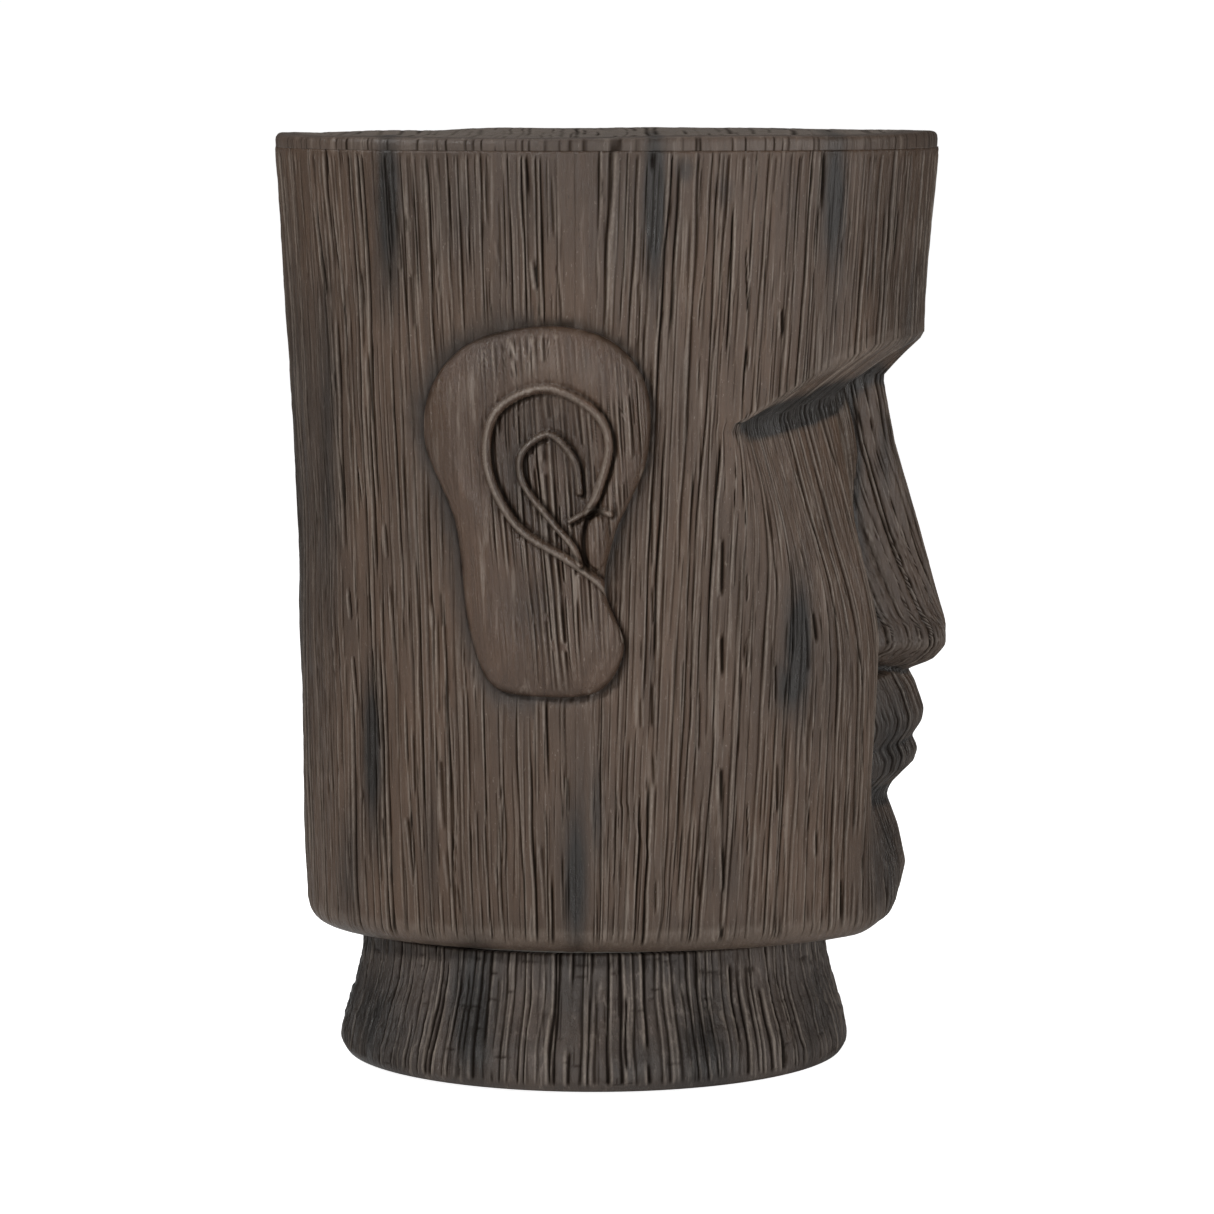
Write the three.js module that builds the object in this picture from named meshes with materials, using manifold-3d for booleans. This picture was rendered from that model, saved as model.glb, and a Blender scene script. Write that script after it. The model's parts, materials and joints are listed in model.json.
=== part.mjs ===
// Tiki head side table: a hollow cast head standing on a flared neck.
// Millimetres, +Z up, the face looks along -Y, origin on the floor under the middle of the box.
// "Forward" below means -Y, so forward = -y, and "out" means away from the middle plane x = 0.

import * as THREE from 'three';
import { mergeVertices } from 'three/addons/utils/BufferGeometryUtils.js';
import Module from 'manifold-3d';

const wasm = await Module();
wasm.setup();

// ---- overall sizes --------------------------------------------------------------------------
const HEIGHT = 500;              // floor to table top
const NECK_HEIGHT = 71.5;        // floor to the underside of the head
const TOP_HALF_WIDTH = 125;      // table top, side to side
const TOP_FORWARD = 175.5;       // table top, from the axis to the front edge
const TOP_REARWARD = 180.8;      // table top, from the axis to the rear edge
const JAW_HALF_WIDTH = 110;      // head just above its lower edge
const JAW_FORWARD = 162;
const JAW_REARWARD = 165.6;
const WAIST_REARWARD = 168.6;
const WAIST_HEIGHT = NECK_HEIGHT + 178.5; // below this the back of the head curves in again
const TOP_SQUARENESS = 2.45;     // plan exponent: 2 is an ellipse, more is squarer
const JAW_SQUARENESS = 2.0;

// ---- walls, joints and clearances -----------------------------------------------------------
const WALL = 12;                 // cast wall of the two head shells
const GAP = 0.3;                 // clearance between pieces that touch
const OVERLAP = 1;               // parts of one piece run this far into each other
const RIM = 6;                   // visible edge of the top slab
const LIP_EASE = 1.3;            // its lower arris
const LIP_ROUNDING = 1.7;        // and its upper one
const SPIGOT = 14;               // how far the slab reaches down inside the shells
const SEAM_SETBACK = 19;         // the joint between the shells lies this far behind the axis
const LAP = 10;                  // overlap of the half-lapped shell joint
const JAW_ROUNDING = 12;         // radius of the head's lower edge

// ---- brow, eye sockets and cheeks -----------------------------------------------------------
const BROW_HEIGHT = NECK_HEIGHT + 321.5; // lower edge of the brow at the middle
const BROW_DROP = 41;            // how much lower that edge ends at the side
const BROW_REACH = 114;          // where it ends, from the middle plane
const SOCKET_TOP = NECK_HEIGHT + 298.5; // deepest line under the brow, beside the nose root
const SOCKET_DROP = 19;
const SOCKET_START = 20;
const JAW_BLEND_LOW = NECK_HEIGHT + 12.5; // the cheek cut fades out from one height
const JAW_BLEND_HIGH = NECK_HEIGHT + 113.5; // down to the other
const CHEEK_RIDGE = 62;          // ridge between the cheek plane and the inner socket
const CHEEK_RIDGE_FORWARD = 117.7; // forward place of the ridge at CHEEK_RIDGE_HEIGHT
const CHEEK_RIDGE_HEIGHT = NECK_HEIGHT + 275;
const CHEEK_LEAN = 0.24;         // the ridge comes forward this much per mm down
const CHEEK_SWEEP = 1.02;        // the cheek plane goes back this much per mm out
const INNER_SWEEP_TOP = 0.28;    // inner socket: rises toward the nose at the top
const INNER_SWEEP_LOW = -0.25;   // and falls back beside the mouth
const INNER_SWEEP_DEPTH = 95;    // height over which one turns into the other
const CHEEK_SOFTNESS = 12;       // radius between the cheek plane and the side
const SOCKET_SOFTNESS = 5;       // radius along the cheek ridge
const FEATURE_SOFTNESS = 3;      // radius where nose, lips and chin meet the face

// ---- nose, lips and chin: middle profiles as rising [height above the jaw, forward] --------
const CHIN_LINE = [
  [0, 138], [10, 152], [18.5, 157.5], [32.5, 160.5], [50.5, 156.5], [70, 149.7], [80.5, 148],
];
const CHIN_END = 0.5;            // the jaw keeps the chin line's depth from this far below its end
const CHIN_TOP = NECK_HEIGHT + CHIN_LINE[CHIN_LINE.length - 1][0] - CHIN_END;
const LIP_LINE = [
  [70, 149], [78, 153.7], [89, 165], [96, 167], [103, 163.8], [111, 169.2], [117.5, 170.3],
  [131.5, 165.7], [142.5, 159.2],
];
const NOSE_LINE = [
  [139.5, 159.2], [145.5, 175], [153.5, 181], [164.5, 181.8], [175.5, 178.4], [263, 152.4],
  [285, 148.3], [298.5, 145.7],
];
const NOSE_RIDGE_HALF = 7;       // half width of the flat along the nose
const NOSE_FLANK = 2.35;         // how steeply the flanks of the nose fall
const LIP_HALF_WIDTH = 45;       // from the middle to a corner of the mouth
const LIP_BOW = 31;              // the lips go back this much from the middle to the corners
const MOUTH_DROOP = 7;           // the corners hang this far below the middle
const CHIN_BOW = 0.011;          // the chin goes back by this times x squared

// ---- ears: outline and ribs as [forward, up] from the ear's centre --------------------------
const EAR_FORWARD = -39.5;       // the ear's centre, forward of the axis
const EAR_HEIGHT = NECK_HEIGHT + 236.2; // and above the floor
const EAR_HALF_LENGTH = 50;      // rough half sizes, for how far out a rib lies
const EAR_HALF_HEIGHT = 92;
const EAR_RELIEF = 7;            // how far the ear stands out from the head
const EAR_EDGE = 1.5;            // its thickness at the very edge
const EAR_DISH = 0.25;           // share of the relief lost in the middle
const EAR_SHOULDER = 0.72;       // share of the way out where the edge begins to round off
const EAR_ROOT = 3;              // the ear's blank starts this far inside, before it is cut to fit
const EAR_OUTLINE = [
  [8, 96], [-35, 86], [-54, 64], [-58, 36], [-42, -7], [-34, -66], [-22, -93], [2, -98], [34, -94],
  [46, -72], [36, -41], [41, -13], [58, 28], [57, 66], [40, 88],
];
const OUTER_COIL = [
  [31, 8], [38, 37], [31, 52], [5, 64], [-20, 52], [-25, 25], [-10, -7], [17, -25], [26, -31], [40, -48],
];
const INNER_COIL = [[23, 10], [20, 27], [7, 40], [-7, 30], [-7, 16], [9, -6], [20, -19], [23, -27]];
const COIL_BRANCH = [[18, -5], [30, 1], [39, -1]];
const RIB_RADIUS = 2.6;          // the raised coils are cords of this radius
const RIB_SUNK = 0.4;            // share of that radius below the ear's face
const SCOOP_DEPTH = 3.5;         // shallow trough in the head behind each ear
const SCOOP_FORWARD = -112;
const SCOOP_HALF_WIDTH = 26;
const SCOOP_HALF_HEIGHT = 95;

// ---- ear pins -------------------------------------------------------------------------------
const PIN_RADIUS = 3;
const PIN_IN_HEAD = 8;
const PIN_IN_EAR = 4;
const PIN_PLACES = { rear: [-34, 42], front: [42, 42] }; // from the ear's centre

// ---- neck -----------------------------------------------------------------------------------
const NECK_SETBACK = 9.4;        // the neck's centre lies this far behind the axis
const NECK_HALF_LENGTH = 125.5;
const NECK_HALF_WIDTH = 92;
const FLARE_LENGTH = 13;         // how much further the foot spreads, front and rear
const FLARE_WIDTH = 36;          // and at the sides
const FLARE_HEIGHT = 8;          // the foot is widest here
const FLARE_FADE = 34;           // how quickly the flare dies away upward
const FOOT_TUCK = 2.5;           // the rounded foot turns in by this at the floor
const NECK_WALL = 16;
const NECK_FLANGE = 12;          // thickness of the neck's top
const NECK_ROWS = [0, 0.03, 0.09, 0.2, 0.33, 0.48, 0.7, 1]; // shares of the neck's height
const BED = 2;                   // mortar between the neck and the head
const BED_SETBACK = 4;           // the mortar ends this far inside the neck's edge
const OPENING_HALF_LENGTH = 92;  // opening in the floor of the head
const OPENING_HALF_WIDTH = 66;
const SPIGOT_WALL = 8;
const SPIGOT_CLEARANCE = 0.5;

// ---- splice straps over the seam, inside ----------------------------------------------------
const STRAP_HALF_WIDTH = 25;
const STRAP_THICKNESS = 5;
const STRAP_END_CLEARANCE = 8;

// ---- feet -----------------------------------------------------------------------------------
const FOOT_LIFT = 2;             // the neck stands this far above the floor
const PAD_RADIUS = 8.5;
const PAD_SINK = 3;              // pad let into the neck
const PAD_BEVEL = 0.8;
const PAD_SIDE_CLEARANCE = 0.5;
const SCREW_RADIUS = 1.9;
const SCREW_LENGTH = 13;
const SCREW_POINT = 3;           // length of the pointed end
const SCREW_HOLE_SPARE = 2;      // the hole goes this much deeper
const SCREW_HEAD_BEVEL = 0.6;
const DRIVE_RADIUS = 1.1;        // round recess in the screw's head
const DRIVE_DEPTH = 1;
const SCREW_HEAD_RADIUS = 4;
const SCREW_HEAD_HEIGHT = 2;
const SCREW_HEAD_SINK = 0.8;     // the head lies this far above the floor
const FOOT_TURN = Math.PI / 4;

// ---- fineness -------------------------------------------------------------------------------
const FRONT_COLUMNS = 17;        // from the middle of the face to the side
const REAR_COLUMNS = 10;
const FRONT_CROWDING = 1.35;     // gathers columns toward the nose
const ROUND_STEPS = 40;
const SMALL_STEPS = 16;
const PAD_STEPS = 24;
const EAR_SPOKES = 30;
const EAR_BACK_RINGS = [0.35, 0.7, 1];
const EAR_FRONT_RINGS = [1, 0.93, 0.85, 0.7, 0.45, 0.2];
const OUTER_COIL_STEPS = 22;
const INNER_COIL_STEPS = 14;
const BRANCH_STEPS = 4;

// ---- small helpers --------------------------------------------------------------------------
const clamp = (value, low, high) => Math.min(high, Math.max(low, value));
const mix = (a, b, share) => a + (b - a) * share;
const signedPower = (value, power) => Math.sign(value) * Math.abs(value) ** power;

function smoothStep(low, high, value) {
  const t = clamp((value - low) / (high - low), 0, 1);
  return t * t * (3 - 2 * t);
}

function softMin(a, b, radius) {
  const share = clamp(0.5 + 0.5 * (b - a) / radius, 0, 1);
  return mix(b, a, share) - radius * share * (1 - share);
}

const softMax = (a, b, radius) => -softMin(-a, -b, radius);

// Follows a profile of rising [height, forward] points; far behind the face outside its ends.
function along(profile, height) {
  const z = height - NECK_HEIGHT;
  const last = profile.length - 1;
  if (z < profile[0][0] || z > profile[last][0]) return -TOP_FORWARD;
  const next = clamp(profile.findIndex(([up]) => up >= z), 1, last);
  const [z0, f0] = profile[next - 1];
  const [z1, f1] = profile[next];
  return mix(f0, f1, (z - z0) / (z1 - z0));
}

// ---- plan outline of the head ---------------------------------------------------------------
const shareUp = (z) => clamp((z - NECK_HEIGHT) / (HEIGHT - NECK_HEIGHT), 0, 1);

function squareness(z) {
  return mix(JAW_SQUARENESS, TOP_SQUARENESS, shareUp(z) ** 0.75);
}

function rearward(z) {
  if (z < WAIST_HEIGHT) {
    const below = (WAIST_HEIGHT - z) / (WAIST_HEIGHT - NECK_HEIGHT);
    return mix(WAIST_REARWARD, JAW_REARWARD, below ** 2);
  }
  return mix(WAIST_REARWARD, TOP_REARWARD, ((z - WAIST_HEIGHT) / (HEIGHT - WAIST_HEIGHT)) ** 1.5);
}

// Half sizes of the head at a height, with its lower edge rounded, taken in by an inset.
function outlineSizes(z, inset) {
  const above = z - NECK_HEIGHT - inset;
  const low = clamp(JAW_ROUNDING - above, 0, JAW_ROUNDING);
  const tuck = JAW_ROUNDING - Math.sqrt(JAW_ROUNDING ** 2 - low ** 2) + inset;
  return {
    width: mix(JAW_HALF_WIDTH, TOP_HALF_WIDTH, shareUp(z)) - tuck,
    forward: mix(JAW_FORWARD, TOP_FORWARD, shareUp(z) ** 2.5) - tuck,
    rearward: rearward(z) - tuck,
    power: squareness(z),
  };
}

function outlinePoint(turn, z, inset) {
  const { width, forward, rearward: rear, power } = outlineSizes(z, inset);
  const x = width * signedPower(Math.sin(turn), 2 / power);
  const length = Math.cos(turn) > 0 ? forward : rear;
  return { x, forward: length * signedPower(Math.cos(turn), 2 / power) };
}

function scoop(forward, z) {
  const across = (forward - SCOOP_FORWARD) / SCOOP_HALF_WIDTH;
  const up = (z - EAR_HEIGHT) / SCOOP_HALF_HEIGHT;
  return SCOOP_DEPTH * Math.exp(-(across ** 2) - up ** 4);
}

// How far the side of the head lies from the middle plane.
function sideWidth(forward, z) {
  const { width, forward: front, rearward: rear, power } = outlineSizes(z, 0);
  const length = forward > 0 ? front : rear;
  const share = clamp(Math.abs(forward) / length, 0, 1);
  return width * (1 - share ** power) ** (1 / power) - scoop(forward, z);
}

// ---- face -----------------------------------------------------------------------------------
const browEdge = (x) => BROW_HEIGHT - BROW_DROP * clamp(Math.abs(x) / BROW_REACH, 0, 1) ** 7;

function socketLine(x) {
  const share = clamp((Math.abs(x) - SOCKET_START) / (BROW_REACH - SOCKET_START), 0, 1);
  return SOCKET_TOP - SOCKET_DROP * share;
}

const mouthDroop = (x) => MOUTH_DROOP * clamp(Math.abs(x) / LIP_HALF_WIDTH, 0, 1) ** 2;

function innerSweep(z) {
  const top = CHEEK_RIDGE_HEIGHT;
  return mix(INNER_SWEEP_LOW, INNER_SWEEP_TOP, smoothStep(top - INNER_SWEEP_DEPTH, top, z));
}

// Cheek plane and inner socket, cut out of the plain outline; inset moves them into the wall.
function cheek(x, z, outline, inset) {
  const out = Math.abs(x) - CHEEK_RIDGE;
  const ridge = CHEEK_RIDGE_FORWARD + CHEEK_LEAN * (CHEEK_RIDGE_HEIGHT - z);
  const plane = ridge - CHEEK_SWEEP * out - inset * Math.hypot(1, CHEEK_SWEEP, CHEEK_LEAN);
  const { width, forward, power } = outlineSizes(z, inset);
  const shoulder = forward * (1 - (CHEEK_RIDGE / Math.max(width, CHEEK_RIDGE + 1)) ** power) ** (1 / power);
  const inner = Math.min(ridge - inset, shoulder) - innerSweep(z) * out;
  const cut = softMin(softMin(outline, plane, CHEEK_SOFTNESS), inner, SOCKET_SOFTNESS);
  const jaw = softMin(outline, along(CHIN_LINE, Math.min(z, CHIN_TOP)) - inset, CHEEK_SOFTNESS);
  return mix(jaw, cut, smoothStep(JAW_BLEND_LOW, JAW_BLEND_HIGH, z));
}

function nose(x, z) {
  return along(NOSE_LINE, z) - NOSE_FLANK * Math.max(0, Math.abs(x) - NOSE_RIDGE_HALF);
}

function lips(x, z) {
  return along(LIP_LINE, z + mouthDroop(x)) - LIP_BOW * (x / LIP_HALF_WIDTH) ** 2;
}

const chin = (x, z) => along(CHIN_LINE, z) - CHIN_BOW * x ** 2;

// Forward place of the face at x and z, where the plain outline is at "outline".
function faceForward(x, z, outline, inset) {
  const brow = browEdge(x) + inset;
  const socket = Math.min(socketLine(x) + inset, brow - 0.5);
  if (z >= brow) return outline;
  const below = Math.min(z, socket);
  let deep = Math.min(cheek(x, below, outline, inset), outline);
  if (inset === 0) {
    deep = softMax(deep, Math.min(chin(x, below), outline), FEATURE_SOFTNESS);
    for (const feature of [nose, lips]) deep = softMax(deep, feature(x, below), FEATURE_SOFTNESS);
  }
  return mix(outline, deep, clamp((brow - z) / (brow - socket), 0, 1));
}

// Point on the head, or on a layer of its wall, by turn about the axis and height.
function headPoint(turn, z, inset) {
  const { x, forward } = outlinePoint(turn, z, inset);
  if (Math.cos(turn) > 0 && z < BROW_HEIGHT + inset) {
    return new THREE.Vector3(x, -faceForward(x, z, forward, inset), z);
  }
  const hollow = Math.abs(Math.sin(turn)) * scoop(forward, z);
  return new THREE.Vector3(x - Math.sign(x) * hollow, -forward, z);
}

// ---- rings of points and solids -------------------------------------------------------------
const turns = [];
for (let i = 0; i < FRONT_COLUMNS; i++) turns.push(0.5 * Math.PI * (i / FRONT_COLUMNS) ** FRONT_CROWDING);
for (let i = 0; i < REAR_COLUMNS; i++) turns.push(0.5 * Math.PI * (1 + i / REAR_COLUMNS));
const mirrored = turns.slice(1).map((turn) => 2 * Math.PI - turn).reverse();
const headTurns = [...turns, Math.PI, ...mirrored];

// Heights of the rows of points; each may follow a line of the face across x.
const level = (z) => () => z;
const mouthLevel = (z) => (x) => z - mouthDroop(x);
const browRow = (x) => Math.max(browEdge(x), socketLine(x) + BROW_STEP);
const heightsOf = (profile, skip) => profile.slice(skip, -1).map(([up]) => NECK_HEIGHT + up);
const FLANK_ROWS = [203.5, 233.5, 263]; // up the long flank of the nose, above the jaw
const EDGE_SHARES = [0, 0.08, 0.3, 0.62, 1]; // rows round the head's lower edge
const BROW_STEP = 6;             // least height between the socket line and the brow
const BROW_MARGIN = 8;           // rows just above the brow
const HEAD_ROWS = [
  ...EDGE_SHARES.map((share) => level(NECK_HEIGHT + share * JAW_ROUNDING)),
  ...heightsOf(CHIN_LINE, 2).map(level),
  ...heightsOf(LIP_LINE, 1).map(mouthLevel),
  ...heightsOf(NOSE_LINE, 0).slice(0, 5).map(level),
  ...FLANK_ROWS.map((up) => level(NECK_HEIGHT + up)),
  (x) => socketLine(x) - BROW_MARGIN,
  (x) => socketLine(x),
  (x) => browRow(x),
  (x) => browRow(x) + BROW_MARGIN,
];

function headRows(top) {
  const brow = BROW_HEIGHT + BROW_MARGIN;
  const upper = [0.3, 0.65, 1].map((share) => level(mix(brow, top, share)));
  return [...HEAD_ROWS, ...upper];
}

function ringFollowing(row, inset) {
  return headTurns.map((turn) => {
    let point = headPoint(turn, row(0), inset);
    for (let pass = 0; pass < 3; pass++) point = headPoint(turn, row(point.x), inset);
    return point;
  });
}

function levelRing(z, inset) {
  return headTurns.map((turn) => headPoint(turn, z, inset));
}

function ellipseRing(halfWidth, halfLength, z, setback = 0, steps = ROUND_STEPS) {
  return Array.from({ length: steps }, (_, i) => {
    const turn = (2 * Math.PI * i) / steps;
    return new THREE.Vector3(halfWidth * Math.sin(turn), setback - halfLength * Math.cos(turn), z);
  });
}

function middle(ring) {
  const sum = ring.reduce((total, point) => total.add(point), new THREE.Vector3());
  return sum.divideScalar(ring.length);
}

// Closed body through rings of equal length, lowest first, each counter-clockwise from above.
function loft(rings) {
  const size = rings[0].length;
  const vertices = rings.flat();
  const triangles = [];
  for (let row = 0; row + 1 < rings.length; row++) {
    for (let i = 0; i < size; i++) {
      const a = row * size + i;
      const b = row * size + (i + 1) % size;
      triangles.push(a, b, b + size, a, b + size, a + size);
    }
  }
  const top = (rings.length - 1) * size;
  const bottomMiddle = vertices.push(middle(rings[0])) - 1;
  const topMiddle = vertices.push(middle(rings[rings.length - 1])) - 1;
  for (let i = 0; i < size; i++) {
    const next = (i + 1) % size;
    triangles.push(bottomMiddle, next, i, topMiddle, top + i, top + next);
  }
  return solidOf(vertices.flatMap((point) => point.toArray()), triangles);
}

function solidOf(positions, triangles) {
  return new wasm.Manifold(new wasm.Mesh({
    numProp: 3,
    vertProperties: new Float32Array(positions),
    triVerts: new Uint32Array(triangles),
  }));
}

function solidFromGeometry(geometry) {
  const bare = geometry.clone();
  bare.deleteAttribute('normal');
  bare.deleteAttribute('uv');
  const merged = mergeVertices(bare, 1e-4);
  return solidOf(merged.attributes.position.array, merged.index.array);
}

function geometryOf(solid) {
  const { vertProperties, triVerts, numProp } = solid.getMesh();
  const positions = [];
  for (let i = 0; i < vertProperties.length; i += numProp) {
    positions.push(vertProperties[i], vertProperties[i + 1], vertProperties[i + 2]);
  }
  const geometry = new THREE.BufferGeometry();
  geometry.setAttribute('position', new THREE.Float32BufferAttribute(positions, 3));
  geometry.setIndex(Array.from(triVerts));
  geometry.computeVertexNormals();
  return geometry;
}

function block(xs, ys, zs) {
  const geometry = new THREE.BoxGeometry(xs[1] - xs[0], ys[1] - ys[0], zs[1] - zs[0]);
  geometry.translate((xs[0] + xs[1]) / 2, (ys[0] + ys[1]) / 2, (zs[0] + zs[1]) / 2);
  return solidFromGeometry(geometry);
}

function roundBar(radius, z0, z1, steps = SMALL_STEPS) {
  return loft([ellipseRing(radius, radius, z0, 0, steps), ellipseRing(radius, radius, z1, 0, steps)]);
}

// ---- head shells ----------------------------------------------------------------------------
const FAR = 2 * (HEIGHT + TOP_FORWARD + TOP_REARWARD); // reaches past the whole table
const shellTop = HEIGHT - RIM - GAP;
const spigotEnd = HEIGHT - RIM - SPIGOT;
const LAYER_EDGE = [0, 5, 16];   // rows of a layer above its own bottom
const LAYER_FACE = [48.5, 88.5, 133.5, 178.5, 223.5, 258.5]; // and up the face
const LAYER_UPPER = [0.05, 0.35, 0.65, 1]; // shares of the way from the brow to the spigot
const LAYER_OVERRUN = 20;        // layers run this far past the table top
const THROUGH = 10;              // cutting bars run this far past what they cut

const outerHead = loft(headRows(shellTop).map((row) => ringFollowing(row, 0)));
const clearOfHead = loft(headRows(shellTop).map((row) => ringFollowing(row, -GAP)));

// Upright bar with the outline of the opening in the head's floor, taken in by an inset.
function openingBar(inset, z0, z1) {
  return loft([z0, z1].map(
    (z) => ellipseRing(OPENING_HALF_WIDTH - inset, OPENING_HALF_LENGTH - inset, z, NECK_SETBACK)));
}

// One layer of the wall as a full solid, open past the top of the shells.
function layer(inset) {
  const low = [...LAYER_EDGE.map((up) => inset + up), ...LAYER_FACE].map((up) => NECK_HEIGHT + up);
  const edges = [(x) => socketLine(x) + inset, (x) => browRow(x) + inset];
  const upper = LAYER_UPPER.map((share) => mix(BROW_HEIGHT + inset, spigotEnd, share));
  const high = [...upper, HEIGHT, HEIGHT + LAYER_OVERRUN];
  const rows = [...low.map(level), ...edges, ...high.map(level)];
  return loft(rows.map((row) => ringFollowing(row, inset)));
}

const cavity = layer(WALL);
const lapFront = layer(WALL / 2 - GAP / 2);
const lapRear = layer(WALL / 2 + GAP / 2);
const floorOpening = openingBar(0, NECK_HEIGHT - THROUGH, NECK_HEIGHT + WALL + THROUGH);

function sideFaceAt([forward, up]) {
  const place = EAR_FORWARD + forward;
  const height = EAR_HEIGHT + up;
  return new THREE.Vector3(sideWidth(place, height), -place, height);
}

// Round bar along X through a pin's place, from "inward" to "outward" of the head's surface.
function pinBar(place, side, radius, inward, outward) {
  const at = sideFaceAt(place);
  const bar = geometryOf(roundBar(radius, -inward, outward));
  bar.rotateY(side * Math.PI / 2);
  bar.translate(side * at.x, at.y, at.z);
  return solidFromGeometry(bar);
}

function pinHolesInHead() {
  let holes = null;
  for (const side of [-1, 1]) {
    for (const place of Object.values(PIN_PLACES)) {
      const hole = pinBar(place, side, PIN_RADIUS + GAP, PIN_IN_HEAD + GAP, EAR_RELIEF);
      holes = holes ? holes.add(hole) : hole;
    }
  }
  return holes;
}

const pinHoles = pinHolesInHead();

function frontShell() {
  const region = block([-FAR, FAR], [-FAR, SEAM_SETBACK - GAP / 2], [-FAR, FAR]);
  const pocket = lapFront.intersect(block([-FAR, FAR], [SEAM_SETBACK - LAP - GAP, FAR], [-FAR, FAR]));
  const body = outerHead.intersect(region).subtract(cavity).subtract(pocket);
  return body.subtract(floorOpening).subtract(pinHoles);
}

function rearShell() {
  const region = block([-FAR, FAR], [SEAM_SETBACK + GAP / 2, FAR], [-FAR, FAR]);
  const lap = [SEAM_SETBACK - LAP, SEAM_SETBACK + LAP];
  const tongue = lapRear.intersect(block([-FAR, FAR], lap, [-FAR, shellTop]));
  const body = outerHead.intersect(region).add(tongue);
  return body.subtract(cavity).subtract(floorOpening).subtract(pinHoles);
}

function topSlab() {
  const edge = [
    [HEIGHT - RIM, LIP_EASE], [HEIGHT - RIM + LIP_EASE, 0], [HEIGHT - LIP_ROUNDING, 0], [HEIGHT, LIP_ROUNDING],
  ];
  const lip = loft(edge.map(([z, inset]) => levelRing(z, inset)));
  const spigotInset = WALL + SPIGOT_CLEARANCE;
  const spigotHeights = [spigotEnd, HEIGHT - RIM + OVERLAP];
  return lip.add(loft(spigotHeights.map((z) => levelRing(z, spigotInset))));
}

function seamStrap(side) {
  const outside = layer(WALL + GAP);
  const inside = layer(WALL + GAP + STRAP_THICKNESS);
  const bottom = NECK_HEIGHT + WALL + STRAP_END_CLEARANCE;
  const top = spigotEnd - STRAP_END_CLEARANCE;
  const across = side > 0 ? [0, FAR] : [-FAR, 0];
  const over = [SEAM_SETBACK - STRAP_HALF_WIDTH, SEAM_SETBACK + STRAP_HALF_WIDTH];
  const window = block(across, over, [bottom, top]);
  return outside.subtract(inside).intersect(window);
}

// ---- ears -----------------------------------------------------------------------------------
// The outline from the ear's centre, as evenly turned spokes of a smooth closed curve.
function earOutline(count) {
  const points = EAR_OUTLINE.map(([forward, up]) => new THREE.Vector3(forward, up, 0));
  return new THREE.CatmullRomCurve3(points, true, 'centripetal').getPoints(count).slice(0, count);
}

// Thickness of the ear by share of the way out to its edge: dished, with a rounded edge.
function earThickness(share) {
  const dish = 1 - EAR_DISH * Math.cos(Math.min(share / EAR_SHOULDER, 1) * Math.PI / 2) ** 2;
  const overEdge = clamp((share - EAR_SHOULDER) / (1 - EAR_SHOULDER), 0, 1);
  const edge = Math.sqrt(Math.max(0, 1 - overEdge ** 2.5));
  return EAR_EDGE + (EAR_RELIEF - EAR_EDGE) * dish * edge;
}

function earPoint(side, forward, up, outward) {
  const at = sideFaceAt([forward, up]);
  return new THREE.Vector3(side * (at.x + outward), at.y, at.z);
}

function earBody(side) {
  const spokes = earOutline(EAR_SPOKES);
  const back = EAR_BACK_RINGS.map((share) => [share, -EAR_ROOT]);
  const front = EAR_FRONT_RINGS.map((share) => [share, GAP + earThickness(share)]);
  const rings = [...back, ...front].map(([share, outward]) =>
    spokes.map((spoke) => earPoint(side, spoke.x * share, spoke.y * share, outward)));
  return loft(side > 0 ? rings.map((ring) => ring.reverse()) : rings);
}

function earRib(side, route, steps) {
  const points = route.map(([forward, up]) => {
    const reach = Math.hypot(forward / EAR_HALF_LENGTH, up / EAR_HALF_HEIGHT);
    return earPoint(side, forward, up, GAP + earThickness(Math.min(reach, 0.8)) - RIB_SUNK * RIB_RADIUS);
  });
  const section = new THREE.Shape().absarc(0, 0, RIB_RADIUS, 0, 2 * Math.PI);
  return solidFromGeometry(new THREE.ExtrudeGeometry(section, {
    curveSegments: 4,
    steps,
    bevelEnabled: false,
    extrudePath: new THREE.CatmullRomCurve3(points, false, 'centripetal'),
  }));
}

function ear(side) {
  let body = earBody(side);
  body = body.add(earRib(side, OUTER_COIL, OUTER_COIL_STEPS));
  body = body.add(earRib(side, INNER_COIL, INNER_COIL_STEPS));
  body = body.add(earRib(side, COIL_BRANCH, BRANCH_STEPS)).subtract(clearOfHead);
  for (const place of Object.values(PIN_PLACES)) {
    body = body.subtract(pinBar(place, side, PIN_RADIUS + GAP, PIN_IN_HEAD, GAP + PIN_IN_EAR + GAP));
  }
  return body;
}

// ---- neck -----------------------------------------------------------------------------------
const neckTop = NECK_HEIGHT - BED - 2 * GAP;

function neckRing(z, inset) {
  const faded = (Math.max(z, FLARE_HEIGHT) - FLARE_HEIGHT) / FLARE_FADE;
  const flare = Math.exp(-(faded ** 2));
  const tuck = FOOT_TUCK * clamp((FLARE_HEIGHT - z) / (FLARE_HEIGHT - FOOT_LIFT), 0, 1) ** 2;
  const halfWidth = NECK_HALF_WIDTH + FLARE_WIDTH * flare - tuck - inset;
  const halfLength = NECK_HALF_LENGTH + FLARE_LENGTH * flare - tuck - inset;
  return ellipseRing(halfWidth, halfLength, z, NECK_SETBACK);
}

const footPlaces = [0, 1, 2, 3].map((quarter) => {
  const turn = FOOT_TURN + quarter * Math.PI / 2;
  return new THREE.Vector3(
    NECK_HALF_WIDTH * Math.sin(turn), NECK_SETBACK - NECK_HALF_LENGTH * Math.cos(turn), 0);
});

function at(solid, place) {
  const geometry = geometryOf(solid);
  geometry.translate(place.x, place.y, place.z);
  return solidFromGeometry(geometry);
}

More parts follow.
